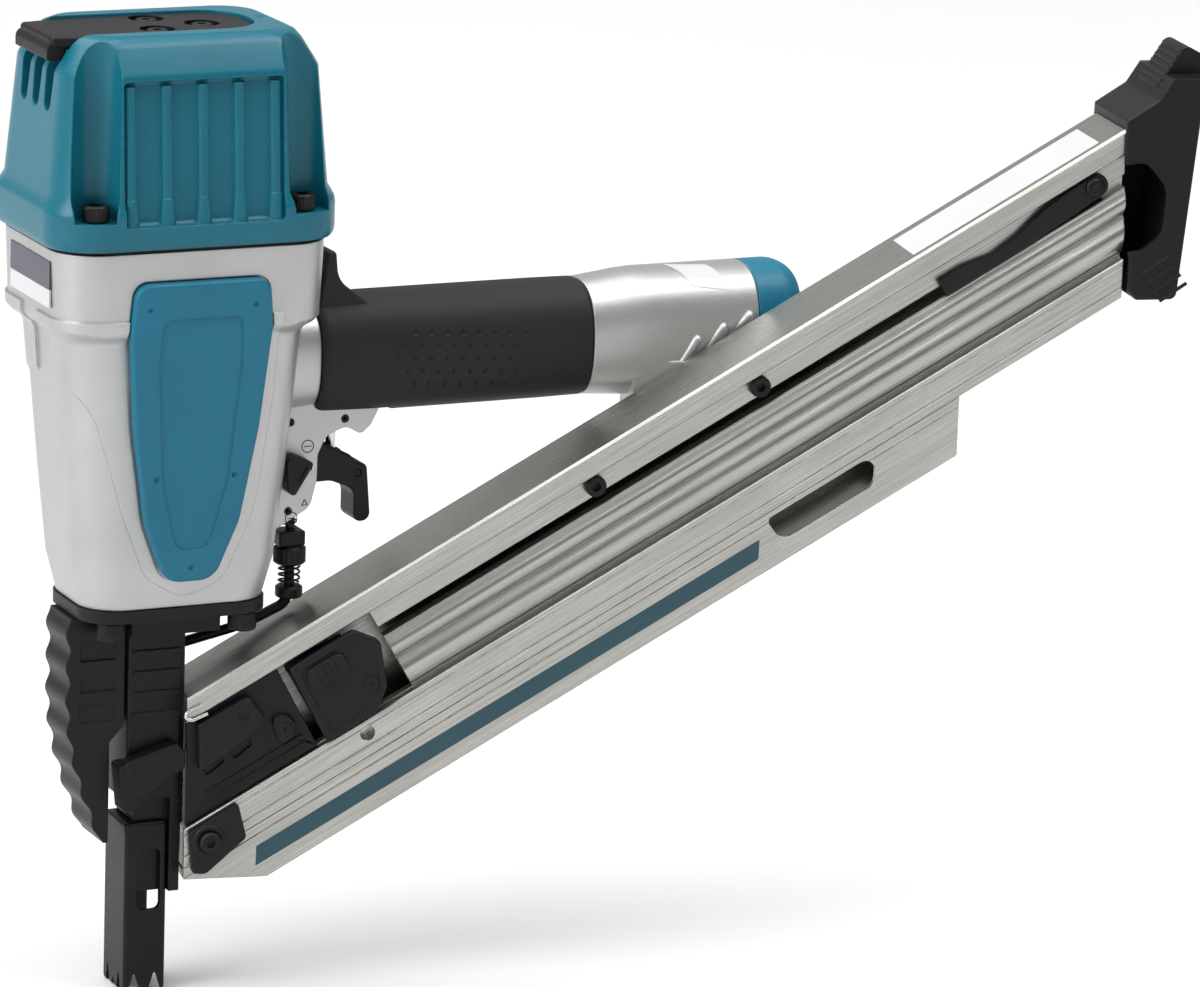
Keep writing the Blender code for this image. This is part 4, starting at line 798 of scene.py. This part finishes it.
def trigger_group():
    x, z = PIVOT
    pin_x, pin_z = LEVER_PIN
    outline = fillet([(41.8, 43, 4), (46.5, 48.5, 4.5), (56, 51.5, 4), (62.5, 53.4, 1), (73.7, 47.8, 1.5),
                      (75.6, 45.4, 1), (80.5, 43.6, 2.5), (82.4, 22.0, 3.2), (75.4, 21.6, 3),
                      (75.4, 34.4, 5), (66, 38.4, 8), (52, 38.2, 3), (46, 37.2, 4)])
    body = soften(plate(TOOL, outline, -6.9, 6.9), 1.1, 4)
    cut(body, block(TOOL, (49.3, 72.5), (-4.2, 4.2), (30, 60)),
        block(TOOL, (70.0, 79.5), (-4.2, 4.2), (37.6, 60)),
        rod(TOOL, (x, -9, z), (x, 9, z), 2.75), rod(TOOL, (pin_x, -9, pin_z), (pin_x, 9, pin_z), 1.6,
                                                    sides=20))
    stands_for(body, "trigger", BLACK, edge=0.2)

    lever = plate(TOOL, fillet([(49.6, 43.2, 1), (70, 39.6, 3), (77, 38.5, 1.8), (78.8, 41, 1.8),
                                (77, 43.2, 1.8),
                                (68, 44.2, 3), (50, 46.0, 1)]), -3.7, 3.7)
    cut(lever, rod(TOOL, (pin_x, -9, pin_z), (pin_x, 9, pin_z), 1.6, sides=20))
    stands_for(lever, "trigger_lever", BRIGHT, edge=0.2)
    stands_for(rod(TOOL, (pin_x, -6.6, pin_z), (pin_x, 6.6, pin_z), 1.3, sides=24), "lever_pin", OXIDE,
               edge=0.15)

    knob = plate(TOOL, fillet([(43.4, 50.5, 3), (47.5, 51.8, 2), (55.0, 48.4, 1.5), (46.9, 35.6, 1.5),
                               (44.4, 38.4, 2)]), -17.0, -10.5)
    join(soften(knob, 0.7, 3), rod(TOOL, (x, -13.5, z), (x, 11.0, z), 2.4, sides=32))
    cut(knob, plate(TOOL, fillet([(45.0, 48.6, 1.2), (49.0, 49.4, 1), (52.4, 47.6, 1), (48.0, 40.6, 1)]),
                    -18.0, -16.4))
    stands_for(knob, "mode_knob", BLACK, edge=0.2)

    wheel = turned(TOOL, [(5.0, 13.2), (6.2, 12.3), (6.2, 6.9), (5.0, 6.0), (2.4, 6.0), (2.4, 13.2)],
                   (ROD_X, 0, 0), closed=True, steps=48, knurl=(1, 2))
    stands_for(wheel, "depth_wheel", BLACK, edge=0)
    head = soften(block(TOOL, (ROD_X - 6, ROD_X + 4.5), (-4.8, 4.8), (13.6, 19.4)), 0.8, 3)
    join(head, rod(TOOL, (ROD_X, 0, 19), (ROD_X, 0, 42.4), 1.8, sides=24))
    stands_for(head, "link_head", OXIDE, edge=0)


def contact_trip():
    route = rounded_route([(-3, 13.6, -99), (-3, 14.6, -93), (-3, 16, -84), (-3, 16, -36, 6),
                           (8, 14.6, -27, 8),
                           (36, 3.2, -17, 8), (50.5, 0, -9.5, 4), (ROD_X, 0, -5, 3), (ROD_X, 0, 13.2)])
    link = wire(TOOL, route, 2.0, sides=6)
    cup = turned(TOOL, [(0, -2.3), (4.4, -2.3), (5.2, -3.0), (5.2, -6.2), (4.6, -6.8), (0, -6.8)],
                 (ROD_X, 0, 0))
    stands_for(join(link, cup), "contact_link", OXIDE, edge=0)
    stands_for(coil(TOOL, (ROD_X, 0), 3.9, 0.45, -2.0, 5.7, 3), "detent_spring", OXIDE, edge=0)

    front, rear, half, top, bottom = -15.6, 1.1, 11.0, -86.5, -153.0
    tip = soften(block(TOOL, (front, rear), (-half, half), (bottom, top)), 1.4, 3)
    cut(tip, block(TOOL, (front + 3.2, rear + 5), (-half + 2.2, half - 2.2), (bottom - 5, top + 5)),
        plate(TOOL, fillet([(-11.0, -121, 2.5), (-1.5, -121, 2.5), (-1.5, -97, 2.5), (-11.0, -97, 2.5)]),
              -half - 2, -half + 3))
    for x in (-11.2, -3.0):
        cut(tip, plate(TOOL, fillet([(x - 3.2, bottom - 1), (x, bottom + 9, 0.8), (x + 3.2, bottom - 1)]),
                       -20, 20))
    for y in (-5.5, 0.0, 5.5):
        notch = [(y - 2.5, bottom - 1), (y, bottom + (8 if y else 4)), (y + 2.5, bottom - 1)]
        cut(tip, plate(TOOL, notch, -20, -10, plane="YZ"))
    stands_for(tip, "contact_tip", OXIDE, edge=0.3)


# ---------------------------------------------------------------- nose

def nose():
    base = plate(TOOL, rounded_rectangle(36.8, 25.2, 14.5), -5.0, -0.3, plane="XY")
    cut(base, rod(TOOL, (0, 0, -8), (0, 0, 3), 9.0))
    for x, y in BASE_BOLTS:
        cut(base, rod(TOOL, (x, y, -8), (x, y, 3), 3.3, sides=16))
    stands_for(base, "base_plate", BLACK, edge=0.6, steps=3)

    guide = soften(block(TOOL, (-16.0, 5.5), (-12.0, 12.0), (-77.8, -8.0)), 1.0, 2)
    join(guide, block(TOOL, (-16.5, 18.6), (-16.0, 16.0), (-13.0, -5.3)),
         block(TOOL, (-12.0, 5.5), (-8.4, 8.4), (-114.0, -77.0)),
         block(TOOL, (1.5, 5.5), (-12.0, 12.0), (-114, -77)),
         *[block(TOOL, (-14.0, 4.5), (-12.9, -11.5), (z, z + 1.6)) for z in (-21.0, -29.0, -37.0, -45.0)],
         *[block(TOOL, (4.8, 6.6), (y, y + 1.5), (-60.0, -14.0)) for y in (-11.5, 10.0)])
    cut(guide, rod(TOOL, (0, 0, -120), (0, 0, 2), 4.3), block(TOOL, (0.0, 8.0), (-3.6, 3.6), (-112.0, -28.0)))
    stands_for(guide, "driver_guide", OXIDE, edge=0.35)

    top, bottom, teeth = -5.3, -93.0, 7
    outline = [(-17.0, top), (-17.0, -48.0), (-22.6, -54.0), (-22.6, bottom)]
    for k in range(teeth * 12 + 1):
        share = k / (teeth * 12)
        lean = -25.5 - 14.0 * math.sin(min(share * 1.6, 1.0) * math.pi / 2)
        outline.append((lean + 0.9 * math.cos(math.tau * share * teeth), bottom + (top - bottom) * share))
    guard = plate(TOOL, outline, -11.0, 11.0)
    cut(guard, block(TOOL, (-34.0, -10.0), (-8.0, 8.0), (-47.0, -14.0)),
        *[block(TOOL, (-34.5, -20.5), span(side, 10.2, 12.0), (z, z + 7.0))
          for side in (-1, 1) for z in (-22.0, -34.0, -46.0)])
    stands_for(guard, "nose_guard", BLACK, edge=0.45)

    latch = plate(TOOL, fillet([(-19.5, -60.5, 2), (1.8, -54.4, 2), (5.0, -58.5, 1), (4.8, -64.4, 1),
                                (-12.5, -75.5, 2)]), -18.5, -12.5)
    hook = plate(TOOL, fillet([(-21.5, -61.5, 1.5), (-16.8, -61.0), (-12.0, -75.0), (-15.0, -80.0, 2),
                               (-19.5, -80.0, 2)]), -18.0, -9.0)
    join(soften(latch, 0.7, 3), soften(hook, 0.6, 2))
    cut(latch, block(TOOL, (-16.4, 0), (-12.3, 0), (-90, -50)))
    stands_for(latch, "nose_latch", OXIDE, edge=0.25)


# ---------------------------------------------------------------- magazine

def rail_profile():
    """Half section of the extrusion as (across, square), outer side from top to bottom."""
    ridge = [(14.6 + 1.9 * math.sin(math.pi * k / 12), -58.0 - 8.0 * k / 12) for k in range(13)]
    belly = [(14.6 + 2.1 * math.sin(math.pi * k / 14), -67.0 - 11.0 * k / 14) for k in range(15)]
    return [(17.0, RAIL_TOP), (18.0, RAIL_TOP - 1.0), (18.0, -44.3), (17.5, -44.8), (13.0, -44.8),
            (13.0, -53.0),
            (10.8, -53.0), (10.8, -57.0), (14.0, -57.0), (14.4, -57.4), *ridge, (14.0, -66.4), *belly,
            (14.0, -78.6),
            (12.6, -79.0), (12.6, -80.6), (16.6, -80.6), (17.0, -81.0), (17.0, -82.6), (16.7, -82.9),
            (17.0, -83.2),
            (17.0, -89.6), (16.5, -90.0), (17.0, -90.4), (17.0, RAIL_BOTTOM)]


def magazine_rail():
    near = [(-across, square) for across, square in rail_profile()]
    far = [(across, square) for across, square in reversed(rail_profile())]
    rail = plate(RAIL, near + far, -70.0, 430.0, plane="YZ")
    cut(rail, block(RAIL, (-80, 440), (-8.5, 8.5), (-91.0, -40.5)),
        block(RAIL, (-80, 440), (-3.5, 3.5), (-96, -88)),
        block(RAIL, (60, 382), (-14, -7), (-57.0, -53.0)), block(RAIL, (-70, 63), (-22, -6.0),
                                                                 (-80.3, -45.0)),
        plate(YAWED, [(-100, 100), (-100, -200), (RAIL_FRONT, -200), (RAIL_FRONT, 100)], -30, 30),
        plate(YAWED, [(RAIL_REAR, 300), (RAIL_REAR, 0), (460, 0), (460, 300)], -30, 30))
    for s, t in MAGAZINE_BOLTS:
        cut(rail, rod(RAIL, (s, -20, t), (s, -6, t), 2.8, sides=20))
    s, t = STOP_PIVOT
    cut(rail, rod(RAIL, (s, -20, t), (s, -6, t), 2.3, sides=20),
        rod(RAIL, (39.5, -20, -85.5), (39.5, -12, -85.5), 2.9))
    stands_for(rail, "magazine_rail", EXTRUDED, edge=0.25)
    for number, (s, t) in enumerate(MAGAZINE_BOLTS, start=1):
        screw(RAIL, f"magazine_bolt_{number}", (s, -13.3, t), (4.1, 3.6), 2.0, OXIDE, TO_NEAR_SIDE)
    clip = rounded_route([(16, -18.75, -43.2), (9.8, -18.75, -45.8, 2), (7.5, -18.6, -44.6, 2),
                          (8.0, -18.6, -42.6, 2),
                          (13.5, -18.7, -40.0)])
    show(wire(YAWED, clip, 0.75), "flange_clip", BRIGHT, edge=0)


def magazine_skid():
    corner = along_rail(40.0, -108.0)
    skid = plate(RAIL, fillet([on_upright(RAIL_FRONT, -93.8), along_rail(RAIL_FRONT, -108.0),
                               (corner[0], SKID_BOTTOM, 2), (*on_upright(303.5, SKID_BOTTOM), 1),
                               on_upright(303.5, -93.8)]), -17.0, 17.0)
    front, deep = along_rail(RAIL_FRONT - 6, -105.2), along_rail(39.3, -105.2)
    cut(skid, plate(RAIL, [(front[0], -80), front, (deep[0], SKID_BOTTOM + 2.8), (320, SKID_BOTTOM + 2.8),
                           (320, -80)], -14.4, 14.4),
        plate(RAIL, fillet([(210.0, -95.6, 2), (259.0, -95.6, 4), (252.6, -106.2, 5), (211.0, -106.2, 5)]),
              -30, 30))
    for side in (-1, 1):
        cut(skid, block(RAIL, (-60, 360), span(side, 16.6, 18.0), (-97.3, -96.8)))
    stands_for(skid, "magazine_skid", EXTRUDED, edge=0.3)


def decals():
    """A plain straight band and a blank label: the printed graphic and the lettering are left out."""
    for side, label in ((-1, "near"), (1, "far")):
        show(plate(RAIL, STRIPE, *span(side, 16.9, 17.12)), f"skid_stripe_{label}", DECAL, edge=0)
    label = block(RAIL, (307.6, 390.3), (-14.2, 12.0), (RAIL_TOP - 0.1, RAIL_TOP + 0.12))
    show(label, "flange_label", PALE_LABEL_AND_HIGHLIGHT, edge=0)


def magazine_end_cap():
    outline = fillet([(363.8, 171.0), (363.8, 175.8, 1), (376, 183.5, 3), (388.5, 203.0, 3),
                      (399, 197.5, 2.5),
                      (399.5, 194.0, 1), (395.5, 190.5, 1), (393.5, 180, 6), (387, 106.5, 3), (371, 106.5, 2),
                      (367.5, 110, 1), (367.5, 122), (363.8, 150)])
    half = 20.2
    cap = soften(plate(YAWED, outline, -half, half), 1.2, 3)
    pocket = [on_upright(RAIL_FRONT, -36.2), on_upright(386.0, -36.2), on_upright(383.0, -94.5),
              on_upright(RAIL_FRONT, -94.5)]
    window = fillet([(360, 158.5), (372, 160, 6), (381, 150, 9), (380, 132, 9), (372, 126, 6), (360, 124)])
    cut(cap, block(YAWED, (360, 410), (-30, -11), (191.5, 210)),
        block(YAWED, (360, 410), (11, 30), (191.5, 210)),
        plate(RAIL, pocket, -18.3, 18.3), plate(YAWED, window, -half - 2, -half + 4))
    ribs = []
    for k in range(7):
        u = k / 6
        x, z = 378.6 + 8.6 * u, 187.2 + 13.4 * u
        ribs.append(rod(YAWED, (x, -10.2, z), (x, 10.2, z), 0.75, sides=12))
    for k in range(4):
        x, z = 377.5 + 2.6 * k, 119.5 - 3.4 * k
        ribs.append(rod(YAWED, (x - 5.0, -half + 0.1, z - 3.2), (x + 5.4, -half + 0.1, z + 3.6), 0.7,
                        sides=12))
    join(cap, *ribs)
    stands_for(cap, "magazine_end_cap", BLACK, edge=0.3)


def pusher():
    outline = fillet([(26, -46.5, 2), (54, -46.3, 3), (61, -55.5, 4), (54.5, -72.5, 4), (46, -79.2, 3),
                      (24.5, -79.2, 2)])
    body = soften(plate(RAIL, outline, -21.0, -17.5), 1.0, 3)
    rim = fillet([(29, -49.2, 2), (52.6, -49.0, 2), (57.8, -55.8, 3), (52.2, -71.0, 3), (45, -76.6, 2.5),
                  (27.8, -76.6, 2)])
    cut(body, plate(RAIL, rim, -22.0, -20.5))
    grip = fillet([(30, -59.0, 4), (30, -50.2, 4), (46.5, -50.2, 4.2), (46.5, -59.0, 4.2)])
    join(body, soften(plate(RAIL, grip, -22.4, -20.0), 0.7, 3),
         block(RAIL, (30, 50), (-18.5, -6.0), (-56.2, -53.8)),
         block(RAIL, (26, 36), (-7.6, 7.6), (-88.5, -42.0)), block(RAIL, (35, 50), (-7.6, -5.0),
                                                                   (-66.0, -50.0)),
         *[rod(RAIL, (s, -22.3, -58.0), (s, -22.3, -51.4), 0.45, sides=10) for s in (34.0, 36.5, 39.0, 41.5)],
         rod(RAIL, (50.0, -21.4, -68.0), (50.0, -20.0, -68.0), 2.6, sides=28))
    cut(body, rod(RAIL, (50.0, -22.0, -68.0), (50.0, -20.9, -68.0), 1.1, sides=6))
    stands_for(body, "pusher", BLACK, edge=0.25)
    drum = turned(RAIL, [(0, 5.5), (5.4, 5.5), (6.0, 4.9), (6.0, -4.0), (5.4, -4.6), (0, -4.6)], (44, 0, -58),
                  Matrix.Rotation(-math.pi / 2, 4, "X"))
    stands_for(drum, "pusher_spring", BRIGHT, edge=0)


def feeder():
    back = plate(RAIL, [on_upright(RAIL_FRONT + 0.5, -45.4), (22.5, -45.4), (21.0, -79.9),
                        on_upright(RAIL_FRONT + 0.5, -79.9)], -15.5, -9.2)
    lug = plate(RAIL, fillet([(11, -59.5, 3), (19, -63, 5), (17, -71, 5), (9, -72, 2)]), -18.0, -15.0)
    slots = [plate(RAIL, fillet([(s, -64.0, 1), (s + 9.0, -62.5, 1), (s + 8.0, -66.0, 1),
                                 (s - 0.5, -67.4, 1)]),
                   -16.2, -14.4) for s in (-20.0, -8.0)]
    join(back, soften(lug, 0.8, 3), rod(RAIL, (14.0, -18.9, -66.5), (14.0, -17.0, -66.5), 2.3, sides=30),
         *[block(RAIL, (-24.0, 18.0), (-16.3, -15.0), (t, t + 1.0)) for t in (-76.6, -73.4)])
    cut(back, *slots, rod(RAIL, (14.0, -20.0, -66.5), (14.0, -18.2, -66.5), 1.0, sides=6))
    stands_for(back, "feeder_plate", BLACK, edge=0.3)
    raised = plate(RAIL, fillet([(*on_upright(12.2, -47.0), 1), (8.5, -47.5, 3), (9.5, -59.5, 2),
                                 (-3.0, -61.8, 1),
                                 (*on_upright(13.0, -63.5), 1)]), -20.3, -15.8)
    cut(soften(raised, 0.9, 3), rod(RAIL, (3.0, -21.0, -53.0), (3.0, -19.4, -53.0), 2.0, sides=28))
    stands_for(raised, "feeder_block", BLACK, edge=0.2)


def front_bracket():
    s, t = FRONT_BOLT
    bracket = plate(RAIL, fillet([(-37.0, -81.3, 1.5), (-15.5, -81.3, 1.5), (-19.5, -95.0, 2),
                                  (-39.5, -99.0, 4),
                                  (-44.0, -96.0, 2)]), -20.4, -17.3)
    join(soften(bracket, 0.8, 3), turned(RAIL, [(0, 0.9), (6.0, 0.9), (6.6, 0), (6.6, -1), (0, -1)],
                                         (s, -20.0, t),
                                         TO_NEAR_SIDE))
    cut(bracket, rod(RAIL, (s, -30, t), (s, -10, t), 2.3, sides=20),
        rod(RAIL, (s, -30, t), (s, -20.4, t), 4.5))
    stands_for(bracket, "front_bracket", BLACK, edge=0.2)
    screw(RAIL, "front_bracket_bolt", (s, -20.7, t), (4.2, 2.6), 1.9, OXIDE, TO_NEAR_SIDE)


def nail_stop():
    s, t = STOP_PIVOT
    lever = plate(RAIL, fillet([(372, -45.9, 2), (386, -45.9, 4), (386, -54.2, 4), (368, -55.5, 4),
                                (346, -56.4, 4),
                                (311, -56.6, 1), (311, -50.2, 1), (322, -50.2), (334, -52.5, 4),
                                (346, -51.0, 4),
                                (360, -47.2, 4)]), -16.8, -13.4)
    cut(soften(lever, 0.7, 3), rod(RAIL, (s, -20, t), (s, -6, t), 2.3, sides=20))
    stands_for(lever, "nail_stop_lever", BLACK, edge=0.2)
    screw(RAIL, "nail_stop_screw", (s, -17.1, t), (3.6, 1.0), 1.4, OXIDE, TO_NEAR_SIDE,
          knurled=False)


# ---------------------------------------------------------------- assembly

INSIDE = {"cap_gasket": RUBBER, "bumper": RUBBER, "piston_ring": RUBBER, "piston": ALLOY,
          "cylinder_sleeve": ALLOY,
          "head_valve": ALLOY, "head_valve_spring": OXIDE, "driver_blade": OXIDE, "valve_body": BLACK,
          "valve_stem": BRIGHT, "valve_spring": BRIGHT, "contact_spring": OXIDE}

studio()
for node, look in INSIDE.items():
    carried = frame["nodes"][node]
    carried.data.materials.clear()
    carried.data.materials.append(look[0])
for make in (main_housing, bracket_marks, side_pads, labels_and_handle_highlight, top_cap, exhaust_deflector, handle_grip,
             handle_end, trigger_group, contact_trip, nose, magazine_rail, magazine_skid, decals,
             magazine_end_cap, pusher, feeder, front_bracket, nail_stop):
    make()
for spare in list(WORKSHOP.objects):
    bpy.data.objects.remove(spare)
bpy.data.collections.remove(WORKSHOP)
